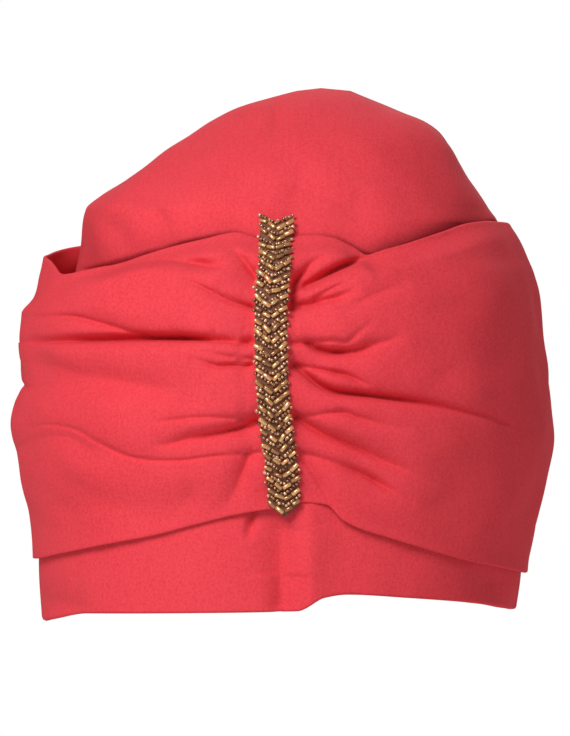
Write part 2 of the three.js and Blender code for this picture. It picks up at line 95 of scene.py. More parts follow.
# Outer sections of the crown and headband: the furthest point each way at a height
CAP_SECTIONS = {
    "z": (0, 17, 30, 65, 100, 120, 133, 140, 145, 149, 155, 161, 167, 172, 176, 180, 184, 186.6),
    "left": (-84.5, -85.4, -85.5, -83.4, -77.5, -72.5, -69.8, -69.5, -68.5, -64.2, -55.2, -46.1, -37.1, -29.6,
             -23.5, -16.5, -3.6, 6),
    "right": (83.3, 85.7, 86.2, 85, 81.5, 79, 78, 77.2, 74, 71.6, 67.8, 64.3, 61, 57, 51.3, 41.8, 31.5, 25),
    "front": (-99, -100.2, -100.5, -100, -96, -91, -87, -84, -81.5, -79, -74.5, -69, -62, -54.5, -47, -37.5,
              -24.5, -11.5),
    "back": (99, 100.2, 100.5, 101, 99, 95.5, 91.5, 88.8, 86.3, 84, 79.5, 73.8, 66.5, 58.5, 50.5, 40.5, 26.5,
             12.5),
}
CROWN_TOP = 186.6

# Outer sections of the drape before its folds
DRAPE_SECTIONS = {
    "z": (16, 30, 38, 45, 53, 66, 76, 83, 97, 108, 114, 122, 127, 135, 140),
    "left": (-86.4, -87.8, -88.9, -90.6, -92.7, -94.9, -93.6, -91.4, -92.7, -91.7, -87.6, -84.9, -84,
             -82.8, -82),
    "right": (87.5, 90.3, 92, 93.5, 94.9, 96.5, 96, 95.3, 93.4, 92, 91.2, 89.5, 87.3, 84.1, 81),
    "front": (-101.8, -102.6, -103.8, -105.4, -107.6, -110.3, -111.3, -111.6, -110.8, -109, -107.4,
              -104, -101, -96, -93),
    "back": (104, 106, 107.5, 108.7, 110, 111.5, 111.5, 111, 109.5, 107.5, 106, 103.5, 101.8, 98.5, 96),
}

# Lower hem and upper edge of each half of the drape. Reach is the distance out from the centre front, and
# past the side it goes on round to the centre back.
DRAPE_EDGES = {
    "left": {
        "reach": (0, 7, 17, 31, 44.5, 56.5, 69, 78, 84, 88, 93, 102, 135, 172),
        "hem": (40.2, 39.4, 37.6, 34, 30.4, 28, 25.4, 23.4, 21.9, 21.5, 21.1, 20, 18, 17),
        "top": (132.8, 133.4, 135.6, 133.2, 130.5, 127.5, 123.6, 121, 126, 129.2, 131.6, 132.8, 134, 134),
    },
    "right": {
        "reach": (0, 14, 20, 28, 34, 41, 49, 56, 64, 73, 80, 87, 105, 135, 172),
        "hem": (42.6, 41.3, 35.6, 32, 30.2, 28, 25.6, 23.6, 21.4, 19.6, 18, 16.6, 16.6, 16.8, 17),
        "top": (134, 134.6, 133.9, 130.7, 127.6, 129.6, 131.7, 133.8, 136.2, 139, 139.8, 139.2, 137, 135,
                134),
    },
}

# Widths of a crease above and below its line: a narrow one, and one where the cloth above laps over
SHARP = (0.9, 0.9)
LAP = (2.3, 0.7)

# How a fold's broad valley falls off, where 2 is a bell curve, and how many of its widths away it has ended
FOLD_FALL = 1.6
FOLD_END = 3


def fold(line, body, above, below, crease=(0, 0), thick=SHARP):
    """A fold of the cloth, along a line through flat points.

    The body is the depth of the broad valley along the line, which fades over the widths above and below. The
    crease is the depth of the narrow one in it, and thick its widths above and below.
    """
    return {"line": line, "body": body, "above": above, "below": below, "crease": crease, "thick": thick}


# Folds of the drape, through points of reach and height from the beads outwards
FOLD_STRENGTH = {"left": 1.08, "right": 1.12}
DRAPE_FOLDS = {
    "left": [
        fold([(18, 131), (14, 126.5), (11, 122.6), (8.5, 120)], body=(1.5, 3.5, 3.5), above=3.5, below=5,
             crease=(0, 1.5, 2.5), thick=(1.6, 1)),
        fold([(19.4, 124.6), (24.8, 124.1), (30.7, 124.8), (36.6, 125.7), (44.5, 126.2), (54.3, 125.7),
             (63, 124.6)], body=(1.5, 4, 4, 1.5), above=6, below=2, crease=(0, 2.4, 1.6, 0.8, 0),
             thick=LAP),
        fold([(8, 109), (13, 110.3), (18.9, 112.3), (24.8, 115.2), (30.7, 118.2), (36, 119.7)],
             body=(3, 3, 1.5, 0), above=3, below=6, crease=(2.5, 1.8, 1.2, 0)),
        fold([(16, 108.5), (28, 109.5), (40, 110.5)], body=(0, 1.2, 0), above=4, below=4),
        fold([(7, 98), (11, 97.2), (14, 96.9), (17, 97.5), (22.8, 98), (34.7, 98.4), (51, 98.5), (71, 98),
             (81, 97.8), (90, 97.5)], body=(2, 2, 1.5, 1.8, 4, 3.5, 2.2, 0.5), above=8, below=2.2,
             crease=(2, 3, 2, 3, 7, 5.4, 2.6, 0.4), thick=(1.9, 0.55)),
        fold([(50, 100), (54.3, 100.8), (61.2, 102.9), (68, 104.9), (74, 106.4), (81, 106.7), (87, 105.9)],
             body=(1, 1.5, 1.5, 0.4), above=3.5, below=3, crease=(0.8, 1.2, 0.9, 0)),
        fold([(8, 90.2), (12, 89.2), (17, 89.5), (22.8, 89.3), (26.8, 90.6), (32, 92.8)],
             body=(2, 2, 1.5, 0), above=3, below=2.5, crease=(2, 2, 1.2, 0)),
        fold([(8, 91.4), (14, 91.9), (19, 92.6), (27, 94.1), (35, 95.1)], body=(0.6, 0.6, 0), above=1.6,
             below=1.6, crease=(0.8, 0.6, 0)),
        fold([(16, 77.4), (26.8, 77.9), (36.6, 79.3), (46.4, 81.3), (56.3, 83.3), (66, 85.2), (74, 86.7),
             (78, 88.7), (87, 90.6)], body=(0, 1.8, 2.6, 2.6, 2.2, 0.8), above=4.5, below=6),
        fold([(86, 81), (91, 82.3), (96, 86)], body=(0, 0.4, 0.8), above=2, below=4, crease=(0, 0.7, 1)),
        fold([(7, 70.8), (17, 71), (24.8, 71.2), (31.6, 71), (40.5, 70), (45, 69.5)],
             body=(0.8, 0.8, 0.6, 0), above=2.5, below=2.5, crease=(1, 0.8, 0.8, 0)),
        fold([(7, 70.3), (13, 68), (18.9, 66.6), (26.8, 65.1), (32.6, 64.1), (38.6, 62.1), (46, 61)],
             body=(3, 4, 3.4, 2.4, 0), above=3, below=5, crease=(3, 3, 2, 1, 0), thick=(1.4, 1.2)),
        fold([(7, 59), (17, 58.2), (26.8, 57.2), (34.7, 56.2), (44.5, 56.2), (52.4, 57.2), (58.2, 59.2),
             (64, 62.1), (70, 65.6), (76, 67.7), (83, 68.5), (90, 67)],
             body=(0.8, 0.8, 0.8, 0.8, 0.8, 0.4), above=3, below=4, crease=(0.8, 0.8, 0.8, 0.8, 0.5, 0),
             thick=(0.8, 0.8)),
        fold([(56, 58), (66, 59.7), (72, 62.5), (78, 64.4), (86, 63.5), (93, 60)],
             body=(0.4, 1.6, 1.6, 0.8), above=3, below=5),
        fold([(11, 57.5), (13, 53.8), (14, 48.9), (15.4, 43.9), (18, 40), (21, 37)],
             body=(2.5, 2.8, 2, 0.5), above=4, below=3, crease=(0.6, 0.8, 0.4, 0), thick=(1.2, 1.2)),
        fold([(27, 49), (31.6, 43), (36, 37)], body=(0, 1.4, 0.8), above=5, below=5),
    ],
    "right": [
        fold([(4.4, 112), (5, 116.6), (6.6, 119.8), (9.1, 122.3), (12.2, 125.5), (17, 128.5)],
             body=(3, 4, 2.5, 0.5), above=3, below=3.5, crease=(3, 3, 1, 0), thick=(1.2, 1.2)),
        fold([(9.5, 116.8), (16.3, 120.3), (22.6, 123.1), (28.9, 125.5), (34, 127.4), (38, 128.6)],
             body=(3, 4.5, 4.5, 4), above=5, below=1.8, crease=(4, 5, 6, 6), thick=(1.9, 0.6)),
        fold([(4.6, 109.4), (10.1, 110.4), (15.3, 111.7), (20.5, 113), (24.7, 114.8), (28, 117)],
             body=(3, 3, 2, 0), above=3, below=3, crease=(2.5, 2.2, 1.2, 0), thick=(1.6, 0.8)),
        fold([(13, 113), (17, 115.4), (22, 117.7), (26.5, 118.1)], body=(0.8, 0.8, 0), above=2, below=1.6,
             crease=(0.6, 0.8, 0)),
        fold([(21, 107.6), (28.9, 111.9), (37.2, 115.6), (46, 117.8)], body=(0, 1.2, 1, 0), above=3.5,
             below=3, crease=(0, 0.4, 0.3, 0)),
        fold([(4, 97.2), (8, 97.2), (14.3, 97.7), (19.5, 97.9), (23.6, 97.5), (27.8, 101), (34, 106.2)],
             body=(0.8, 0.8, 0.8, 0), above=2, below=1.6, crease=(1, 0.8, 1, 0)),
        fold([(10, 97), (13.2, 95.3), (17.3, 94.2), (22.6, 94), (27.8, 94.6), (32.9, 96.3), (38.2, 97.9),
             (44, 100.2)], body=(1.5, 3.5, 4, 3, 1.5, 0), above=3, below=5, crease=(2, 4, 4, 2, 0.6, 0),
             thick=(1.5, 1)),
        fold([(4, 89.2), (8, 89), (14.3, 88), (20.5, 86.9), (24.7, 85.9), (28.9, 83.8), (33, 82)],
             body=(0.6, 0.8, 1.8, 1.5, 0), above=2.6, below=2, crease=(1, 0.8, 2, 1.2, 0)),
        fold([(5.5, 89), (10.1, 85.4), (14.3, 82.3), (19.5, 80.2), (24.7, 79.4), (33, 78.6), (41.3, 77.6),
             (48.6, 76.7), (55.9, 75.5), (64.3, 73.4), (72.6, 71.3), (80, 68.6)],
             body=(2.5, 3.5, 3.5, 3.5, 3, 2, 1, 0.6), above=5, below=2.4,
             crease=(2, 3.6, 4.4, 4, 3.2, 2, 1.2, 0.8), thick=(1.5, 0.7)),
        fold([(4, 71.4), (10.1, 71.5), (17.3, 72.7), (22.6, 73.1), (26.8, 71.6), (33, 69.8), (39.3, 67.9),
             (47, 67)], body=(0.6, 0.6, 1.8, 1.8, 1, 0), above=2.6, below=3,
             crease=(1, 0.6, 1.2, 0.8, 0.3, 0)),
        fold([(5.5, 71.4), (10.1, 68.7), (15.3, 65.8), (22.6, 63), (28.9, 60.4), (35, 57.3), (41.3, 54.2),
             (47.6, 51), (55, 46.4)], body=(2.5, 3.5, 4, 3.5, 2.5, 1, 0), above=3, below=4.5,
             crease=(1.6, 2, 2, 1.6, 1, 0.4, 0), thick=(1.4, 1.2)),
        fold([(4.5, 58.3), (10.1, 58.1), (17.3, 56), (24.7, 53.6), (30.9, 51), (36.1, 47.9), (41.3, 44.3),
             (48, 40.2)], body=(1, 1.2, 1.6, 2.6, 2.6, 1, 0), above=3, below=3.6,
             crease=(1, 0.8, 0.8, 1.6, 1.6, 0.6, 0), thick=(1.2, 1)),
        fold([(8, 57), (11.2, 53.1), (14.3, 48.4), (16.9, 43.8), (19, 40)], body=(0.8, 1.4, 0.8),
             above=3.5, below=2, crease=(0.6, 0.5, 0.3)),
        fold([(50, 81), (58, 86), (69, 92)], body=(0, 1, 0), above=5, below=5),
    ],
}

# How far the drape's upper edge is drawn in to the crown, from 0 to 1, and over what drop below the edge
EDGE_TUCK = {
    "left": {
        "reach": (0, 60, 76, 85, 93, 106, 172),
        "share": (1, 1, 0.1, 0, 0.95, 1, 1),
        "drop": (7, 7, 7, 20, 24, 22, 18),
    },
    "right": {
        "reach": (0, 62, 80, 96, 112, 172),
        "share": (1, 1, 0.1, 0.1, 0.9, 1),
        "drop": (7, 7, 7, 12, 18, 18),
    },
}
TUCK_CLEARANCE = 2.1

# How far the drape's hem is drawn in to the headband, and over what rise above the hem
HEM_TUCK = 0.75
HEM_TUCK_RISE = 9
HEM_CLEARANCE = 2

# Soft swells of the cloth: their height, how far apart they are, and how much closer together they come
# round the cloth and up it
CROWN_SWELLS = [
    {"height": 0.42, "apart": 55, "around": 1, "up": 1},
    {"height": 0.14, "apart": 21, "around": 1, "up": 1},
]
HEADBAND_SWELLS = [
    {"height": 0.35, "apart": 42, "around": 1, "up": 0.5},
    {"height": 0.1, "apart": 15, "around": 1, "up": 0.4},
]
DRAPE_SWELLS = [
    {"height": 0.35, "apart": 38, "around": 1, "up": 1.4},
    {"height": 0.12, "apart": 14, "around": 0.6, "up": 1.2},
]
DRAPE_RUCHES = [
    {"height": 1.3, "apart": 17, "around": 0.14, "up": 1},
    {"height": 0.65, "apart": 9, "around": 0.2, "up": 1},
]

# Where the swells come in and end: in height on the crown and headband, and out from the beads on the
# drape. The ruches come in past the side.
CROWN_SWELL_STARTS = (110, 130)
CROWN_SWELL_ENDS = (178, 187)
APEX_SWELL_LOSS = 0.7
HEADBAND_SWELL_ENDS = (40, 55)
DRAPE_SWELL_STARTS = (10, 30)
RUCHE_STARTS = (2, 30)

# The groove of the drape's back seam
SEAM_WIDTH = 8
SEAM_DEPTH = 0.7

# How far the crown is drawn in behind the drape's upper edge on the front
CROWN_TUCK = {
    "x": (-82, -69, -50, -31, -17, -7, 12, 20, 34, 45, 60, 76),
    "depth": (2, 2.5, 3, 3, 2.5, 1, 0.5, 1, 4, 4, 3.5, 2),
    "crease": (2, 3, 3.5, 3.5, 2.5, 1, 0.5, 1, 4, 4, 4, 3),
    "edge": (122, 123.2, 129, 133.2, 135.6, 133.4, 134.6, 133.9, 127.6, 130.7, 135, 139.5),
}
CROWN_TUCK_RISE = 6.5
CROWN_CREASE_RISE = 1.1

# How far in front of the middle the crown's dents and its tuck come in
DENT_FRONT = (0, 48)
TUCK_FRONT = (12, 40)

# Soft dents of the crown and upright folds of the headband, through points of x and z on the front
CROWN_DENTS = [
    fold([(-3, 186), (-1.5, 178), (-2.5, 168)], body=(0.8, 1.2, 0), above=3, below=3, crease=(0.3, 0.5, 0),
         thick=(1.2, 1.2)),
    fold([(3.5, 146), (7, 154), (10.6, 162)], body=(1, 1.2, 0), above=4, below=7),
    fold([(25, 143.7), (28, 149), (30, 153.3)], body=(0.4, 0.8, 0), above=3, below=5),
    fold([(-49.6, 153.3), (-45, 146), (-40.7, 139.1)], body=(0.4, 0.9, 0.6), above=2.4, below=4,
         crease=(0, 0.3, 0), thick=(1.2, 1.2)),
    fold([(-68, 146), (-60, 138), (-55, 131)], body=(0.5, 1.5, 0.5), above=5, below=5),
    fold([(-50, 153), (-46, 142), (-44, 133)], body=(0, 1.5, 1.5), above=6, below=6),
    fold([(8, 150), (22, 147), (38, 138)], body=(0.5, 1.5, 0.5), above=6, below=6),
]
HEADBAND_FOLDS = [
    fold([(0, 40), (0.5, 24), (0.5, 6)], body=(1.6, 4, 4), above=4, below=6),
    fold([(10.5, 41), (10.5, 26), (11, 6)], body=(-1.7, -2.8, -2.8), above=7, below=4.5),
    fold([(76, 21), (79, 5)], body=(1.2, 3.4, 2.6), above=5, below=11),
    fold([(-9.5, 40), (-11.5, 28)], body=(1.2, 1.8, 0), above=1.5, below=3, crease=(1.4, 1.6, 0)),
    fold([(-80, 6), (-66, 4)], body=(1.6, 1.6, 0), above=5, below=5),
]
HEADBAND_HEM = {
    "x": (-84, -69, -49, 6, 15, 23, 44, 72, 84),
    "z": (0, 3.2, 3.4, 4.3, 9, 10.1, 8.9, 6.4, 3.9),
}
BACK_HEM = 12
HEM_TURNS_BACK = 80  # how far behind the sides the front's hem has become the back's

# The beaded strip
STRIP_LINE = {
    "z": (36, 42, 55, 72, 97, 112, 125, 136, 142.4),
    "x": (1.8, 1.4, 0.5, -1.8, -3.2, -3.2, -1.8, -1.4, -1.1),
}
STRIP_SAMPLES = 240
STRIP_SMOOTHINGS = 10
STRIP_TO_CROWN = (134, 141)
STRIP_CLEARANCE = 0.5
STRIP_BOW = 0.018  # how fast the strip bends back to its edges, in millimetres for each square one across
STRIP_HALF_WIDTH = 6.0
CHEVRON_SLOPE = math.radians(38)
CHEVRON_PITCH = 4.1
CHEVRON_RISE = math.tan(CHEVRON_SLOPE) * STRIP_HALF_WIDTH
EVEN_HEIGHTS = 0.6  # from 0 for rows spaced evenly along the strip to 1 for rows spaced evenly in height
BACKING_THICKNESS = 0.5
BACKING_HALF_WIDTH = 5.5
BACKING_STEPS = 13
BACKING_ROWS = 110
BACKING_ENDS = (0.6, 0.4)  # how far it stops short of the strip's end and of the first chevron's rise

# How deep the strip pulls the drape in, and from where out from its middle the pull fades and the folds start
STRIP_PULL = 2.2
PULL_WIDTH = (6.4, 24)
FOLD_START = (4.2, 7)

# The beads: their sizes, how many are strung on an arm of a chevron, how far the arm's end strays outwards,
# and how much each bead is shifted, turned and changed in size
BUGLES = {
    "radius": 0.77, "length": 3.25, "hole": 0.34, "sides": 8,
    "strung": 2, "end_strays": (-0.1, 0.4), "shift": 0.2, "turn": 0.2, "size_change": 0.13,
}
SEEDS = {
    "radius": 0.66, "hole": 0.24, "sides": 10,
    "strung": 6, "end_strays": (-0.2, 0.7), "shift": 0.28, "turn": 0.5, "size_change": 0.18,
}
BUGLE_BEVEL = 0.22  # as a share of the radius
SEED_ROUNDNESS = 0.8  # a seed bead's height as a share of its width
FIRST_BUGLE = 0.25
BUGLE_GAP = 0.18
FIRST_SEED = 0.5
ROWS_STRAY = (-0.45, 0.45)
ROWS_ENDS = (0.5, 0.4)  # how far past the first chevron's rise and the strip's end the rows are counted

# Camera, lights and floor. The sensor is in millimetres, other lengths are in metres and powers in watts.
CAMERA_DISTANCE = 8.0
VIEW_MIDDLE = (1.77 * MM, 88.5 * MM)
VIEW_HEIGHT = 0.2605
SENSOR = 36
KEY_LIGHT = {"place": (-0.58, -1.25, 1.0), "size": 0.8, "power": 22}
BACK_LIGHT = {"place": (0.3, 1.4, 0.9), "size": 0.9, "power": 9}
ROOM_LIGHT = 0.30
WHITE = (1, 1, 1, 1)
FLOOR_HALF = 2.5
FLOOR_HEIGHT = -0.12

# The knit's stitch width and height in metres, its two tones, and how much each of its marks darkens it,
# where the groove mark is painted shade between the stitches
WALE = 0.00052
COURSE = 0.00045
JERSEY_LIGHT = (0.79, 0.064, 0.083, 1)
JERSEY_DEEP = (0.67, 0.037, 0.053, 1)
GROOVE_SHADE = 0.25
STREAK_TONE = 0.45
PATCH_TONE = 0.6
SPECKLE_TONE = 2.1
MIDDLE_TONE = 0.3

# Tones of the bead glass, over the range from 0 to 1 that each bead's own tone is drawn from
BUGLE_TONES = [
    (0.0, (0.24, 0.085, 0.035)),
    (0.35, (0.54, 0.25, 0.09)),
    (0.7, (0.78, 0.42, 0.16)),
    (1.0, (0.82, 0.37, 0.19)),
]
SEED_TONES = [(0.0, (0.14, 0.045, 0.022)), (0.5, (0.50, 0.23, 0.11)), (1.0, (0.86, 0.56, 0.36))]

SEED = 7


# Curves and noise


def along_table(table, key, column, place):
    """The values in a column at places in the key column, on a curve that never overshoots a row."""
    keys = np.array(table[key], float)
    values = np.array(table[column], float)
    place = np.clip(place, keys[0], keys[-1])
    slopes = np.diff(values) / np.diff(keys)
    before, after = slopes[:-1], slopes[1:]
    same_way = before * after > 0
    middle = np.where(same_way, 2 * before * after / np.where(same_way, before + after, 1), 0)
    tangents = np.concatenate([slopes[:1], middle, slopes[-1:]])
    row = np.clip(np.searchsorted(keys, place, side="right") - 1, 0, len(keys) - 2)
    step = keys[row + 1] - keys[row]
    t = (place - keys[row]) / step
    rise = tangents[row] * step * t * (1 - t) ** 2 - tangents[row + 1] * step * t ** 2 * (1 - t)
    return values[row] + (values[row + 1] - values[row]) * t * t * (3 - 2 * t) + rise


def smooth_step(value, start, end):
    t = np.clip((value - start) / (end - start), 0, 1)
    return t * t * (3 - 2 * t)


def smooth_line(points, steps_per_span):
    """A smooth curve through a list of points."""
    points = np.array(points, float)
    padded = np.concatenate([points[:1], points, points[-1:]])
    curve = []
    for span in range(len(points) - 1):
        before, start, end, after = padded[span:span + 4]
        for t in np.arange(steps_per_span) / steps_per_span:
            pull_in, pull_out = (end - before) / 2, (after - start) / 2
            cubic = 2 * start - 2 * end + pull_in + pull_out
            square = -3 * start + 3 * end - 2 * pull_in - pull_out
            curve.append(cubic * t ** 3 + square * t ** 2 + pull_in * t + start)
    curve.append(points[-1])
    return np.array(curve)


def soft_noise(seed, length, *places, waves=28):
    """Smooth seeded noise of about unit size, whose swells are about the given length apart."""
    random = np.random.default_rng(seed)
    total = 0
    for _ in range(waves):
        direction = random.normal(size=len(places))
        direction *= 2 * math.pi / length * random.uniform(0.6, 1.4) / np.linalg.norm(direction)
        phase = random.uniform(0, 2 * math.pi)
        total = total + np.sin(sum(d * p for d, p in zip(direction, places)) + phase)
    return total * math.sqrt(2 / waves)


def swells(rows, seed, around, z):
    """The swells of a table's rows. Around holds the level coordinates that they vary with."""
    total = 0
    for i, row in enumerate(rows):
        places = [place * row["around"] for place in around] + [z * row["up"]]
        total = total + row["height"] * soft_noise(seed + i, row["apart"], *places)
    return total


# Folds


def nearest_on_line(line, x, y):
    """How far places are from a smooth line, the side they lie on and how far along it, from 0 to 1."""
    curve = smooth_line(line, 5)
    nearest = np.full_like(x, np.inf)
    side = np.zeros_like(x)
    share = np.zeros_like(x)
    for i, (start, end) in enumerate(zip(curve[:-1], curve[1:])):
        along = end - start
        from_x, from_y = x - start[0], y - start[1]
        t = np.clip((from_x * along[0] + from_y * along[1]) / (along @ along), 0, 1)
        distance = np.hypot(from_x - along[0] * t, from_y - along[1] * t)
        closer = distance < nearest
        nearest = np.where(closer, distance, nearest)
        outwards = 1 if along[0] >= 0 else -1
        side = np.where(closer, outwards * (along[0] * from_y - along[1] * from_x), side)
        share = np.where(closer, (i + t) / (len(curve) - 1), share)
    return nearest, side, share


def along_line(values, share):
    return np.interp(share, np.linspace(0, 1, len(values)), values)


def near_line(line, x, y, margin):
    """Which places are within a margin of the box round a line."""
    points = np.array(line, float)
    low, high = points.min(0) - margin, points.max(0) + margin
    return (x > low[0]) & (x < high[0]) & (y > low[1]) & (y < high[1])


def fold_depth(folds, x, y):
    """How deep the folds of a list lie at places on the cloth, given as flat coordinates."""
    total = np.zeros(x.shape)
    for row in folds:
        near = near_line(row["line"], x, y, FOLD_END * max(row["above"], row["below"]))
        if not near.any():
            continue
        distance, side, share = nearest_on_line(row["line"], x[near], y[near])
        width = np.where(side > 0, row["above"], row["below"])
        narrow = np.where(side > 0, *row["thick"])
        body = along_line(row["body"], share) * np.exp(-(distance / width) ** FOLD_FALL)
        crease = along_line(row["crease"], share) * np.exp(-(distance / narrow) ** 2)
        total[near] += body + crease
    return total


def crease_closeness(folds, x, y):
    """From 1 on a crease to 0 away from every crease."""
    closest = np.zeros(x.shape)
    for row in folds:
        near = near_line(row["line"], x, y, CREASE_CROWDING_END)
        if not near.any() or max(row["crease"]) <= 0:
            continue
        distance, _, share = nearest_on_line(row["line"], x[near], y[near])
        strength = np.minimum(1, along_line(row["crease"], share))
        closest[near] = np.maximum(closest[near], strength * np.exp(-(distance / CREASE_CROWDING) ** 2))
    return closest


# Oval sections


class Oval:
    """The level sections of a surface at the heights z, which may be an array."""

    def __init__(self, sections, z):
        left, right, front, back = (
            along_table(sections, "z", side, z) for side in ("left", "right", "front", "back")
        )
        self.x, self.y = (left + right) / 2, (front + back) / 2
        self.half_x, self.half_y = (right - left) / 2, (back - front) / 2

    def point(self, turn):
        """A point at a turn, which is 0 at the centre front and a quarter turn at the right side."""
        across = np.sign(np.sin(turn)) * np.abs(np.sin(turn)) ** (2 / ROUNDNESS)
        along = np.sign(np.cos(turn)) * np.abs(np.cos(turn)) ** (2 / ROUNDNESS)
        return self.x + self.half_x * across, self.y - self.half_y * along

    def out(self, x, y):
        """The level direction straight out of the section at a point on it."""
        u, v = (x - self.x) / self.half_x, (y - self.y) / self.half_y
        out_x = np.sign(u) * np.abs(u) ** (ROUNDNESS - 1) / self.half_x
        out_y = np.sign(v) * np.abs(v) ** (ROUNDNESS - 1) / self.half_y
        size = np.hypot(out_x, out_y)
        return out_x / size, out_y / size

    def share(self, points, clearance):
        """How far out points are, where 1 is a clearance outside the section."""
        u = (points[..., 0] - self.x) / (self.half_x + clearance)
        v = (points[..., 1] - self.y) / (self.half_y + clearance)
        return (np.abs(u) ** ROUNDNESS + np.abs(v) ** ROUNDNESS) ** (1 / ROUNDNESS)

    def scaled(self, points, scale):
        """Points moved level, towards the middle or away from it."""
        x = self.x + (points[..., 0] - self.x) * scale
        y = self.y + (points[..., 1] - self.y) * scale
        return np.stack([x, y, points[..., 2]], -1)

    def drawn_in(self, points, clearance, amount):
        """Points past a clearance outside the section, moved in to it by an amount from 0 to 1."""
        share = np.maximum(self.share(points, clearance), 1)
        return self.scaled(points, 1 + amount * (1 / share - 1))

    def turn_at(self, x):
        """The turn of the front's point with the given x."""
        across = np.clip((x - self.x) / self.half_x, -1, 1)
        return np.sign(across) * np.arcsin(np.abs(across) ** (ROUNDNESS / 2))


def round_turns(steps):
    t = 2 * np.arange(steps) / steps - 1
    return math.pi * np.sign(t) * np.abs(t) ** ((1 + FRONT_CROWDING) / 2)


def crowded_rows(low, high, rows, crowding):
    """Heights of rows from low to high in each column, closer together where the crowding is greater."""
    share = np.linspace(0, 1, ROW_SAMPLES)
    heights = low + (high - low) * share[:, None]
    passed = np.cumsum(crowding(heights), 0)
    passed = (passed - passed[0]) / (passed[-1] - passed[0])
    steps = np.linspace(0, 1, rows + 1)
    shares = np.stack([np.interp(steps, column, share) for column in passed.T], 1)
    return low + (high - low) * shares


# Meshes


def add_object(name, data):
    made = bpy.data.objects.new(name, data)
    bpy.context.scene.collection.objects.link(made)
    return made


def new_piece(name, points, faces, corner_places=None):
    """A piece from points in millimetres. Corner places are flat coordinates at each face corner."""
    mesh = bpy.data.meshes.new(name)
    mesh.from_pydata((points * MM).tolist(), [], faces)
    if corner_places is not None:
        layer = mesh.uv_layers.new(name="cloth")
        layer.uv.foreach_set("vector", (corner_places * MM).astype(np.float32).ravel())
    mesh.shade_smooth()
    return add_object(name, mesh)


def unit(vectors):
    return vectors / np.linalg.norm(vectors, axis=-1, keepdims=True)


def rim(start, end, outwards):
    """Points of a half circle from one edge row to another, on the side that outwards points to."""
    middle, radius = (start + end) / 2, (start - end) / 2
    size = np.linalg.norm(radius, axis=1, keepdims=True)
    turns = [math.radians(turn) for turn in RIM_TURNS]
    return np.array([middle + radius * math.cos(t) + outwards * size * math.sin(t) for t in turns])


def ring_faces(rings, columns, round_wall, closed_profile):
    """Faces between the rings of a wall, each with its ring and column at every corner."""
    k = np.arange(rings if closed_profile else rings - 1)
    c = np.arange(columns if round_wall else columns - 1)
    k, c = (grid.ravel() for grid in np.meshgrid(k, c, indexing="ij"))
    corners = [(k, c), (k, c + 1), (k + 1, c + 1), (k + 1, c)]
    return np.stack([np.stack(corner, -1) for corner in corners], 1)


def end_faces(rings, columns, column):
    """Faces that close an end of a wall which doesn't go all the way round."""
    at = [k * columns + column for k in range(rings)]
    middle = rings // 2
    faces = [[at[0], at[1], at[-1]]]
    faces += [[at[i], at[i + 1], at[-i - 1], at[-i]] for i in range(1, middle - 1)]
    faces.append([at[middle - 1], at[middle], at[middle + 1]])
    return faces if column == 0 else [face[::-1] for face in faces]


def cloth_wall(name, outer, inner, flat, round_wall=False, poles=None):
    """A closed wall of cloth with round rims, open at its top or closed there at an inner and an outer pole.

    Outer and inner are grids of points, row by row from the bottom up, and flat is a grid of the cloth's flat
    coordinates, with one more column where the wall is round.
    """
    bottom = rim(inner[0], outer[0], unit(outer[0] - outer[1]))
    if poles is None:
        top = rim(outer[-1], inner[-1], unit(outer[-1] - outer[-2]))
        rings = [bottom[1:], outer, top, inner[::-1], bottom[:1]]
        flat_rings = [flat[:1]] * 2 + [flat] + [flat[-1:]] * 3 + [flat[::-1], flat[:1]]
    else:
        rings = [inner[::-1], bottom, outer]
        flat_rings = [flat[::-1]] + [flat[:1]] * 3 + [flat]
    rings, flat_rings = np.concatenate(rings), np.concatenate(flat_rings)
    count, columns = rings.shape[:2]
    corners = ring_faces(count, columns, round_wall, poles is None)
    ring, column = corners[..., 0] % count, corners[..., 1]
    faces = (ring * columns + column % columns).tolist()
    corner_places = [flat_rings[ring, column].reshape(-1, 2)]
    points = rings.reshape(-1, 3)
    if not round_wall:
        for end in (0, columns - 1):
            closing = end_faces(count, columns, end)
            faces += closing
            corner_places.append(flat_rings[np.concatenate(closing) // columns, end])
    if poles is not None:
        points = np.concatenate([points, poles])
        inner_pole, outer_pole = len(points) - 2, len(points) - 1
        last = (count - 1) * columns
        for c in range(columns):
            after = (c + 1) % columns
            faces += [[c, inner_pole, after], [last + c, last + after, outer_pole]]
            here, beside = flat[-1, c], flat[-1, c + 1]
            middle = (here + beside) / 2
            corner_places.append(np.array([here, middle, beside, here, beside, middle]))
    return new_piece(name, points, faces, np.concatenate(corner_places))


def around_flat(outer):
    """Flat coordinates of a wall: the way round it from its first column, and the height."""
    row = outer[len(outer) // 2]
    closed = np.concatenate([row, row[:1]])
    around = np.concatenate([[0], np.cumsum(np.linalg.norm(np.diff(closed, axis=0), axis=1))])
    height = np.concatenate([outer[..., 2], outer[:, :1, 2]], 1)
    return np.stack([np.broadcast_to(around, height.shape), height], -1)


# The crown


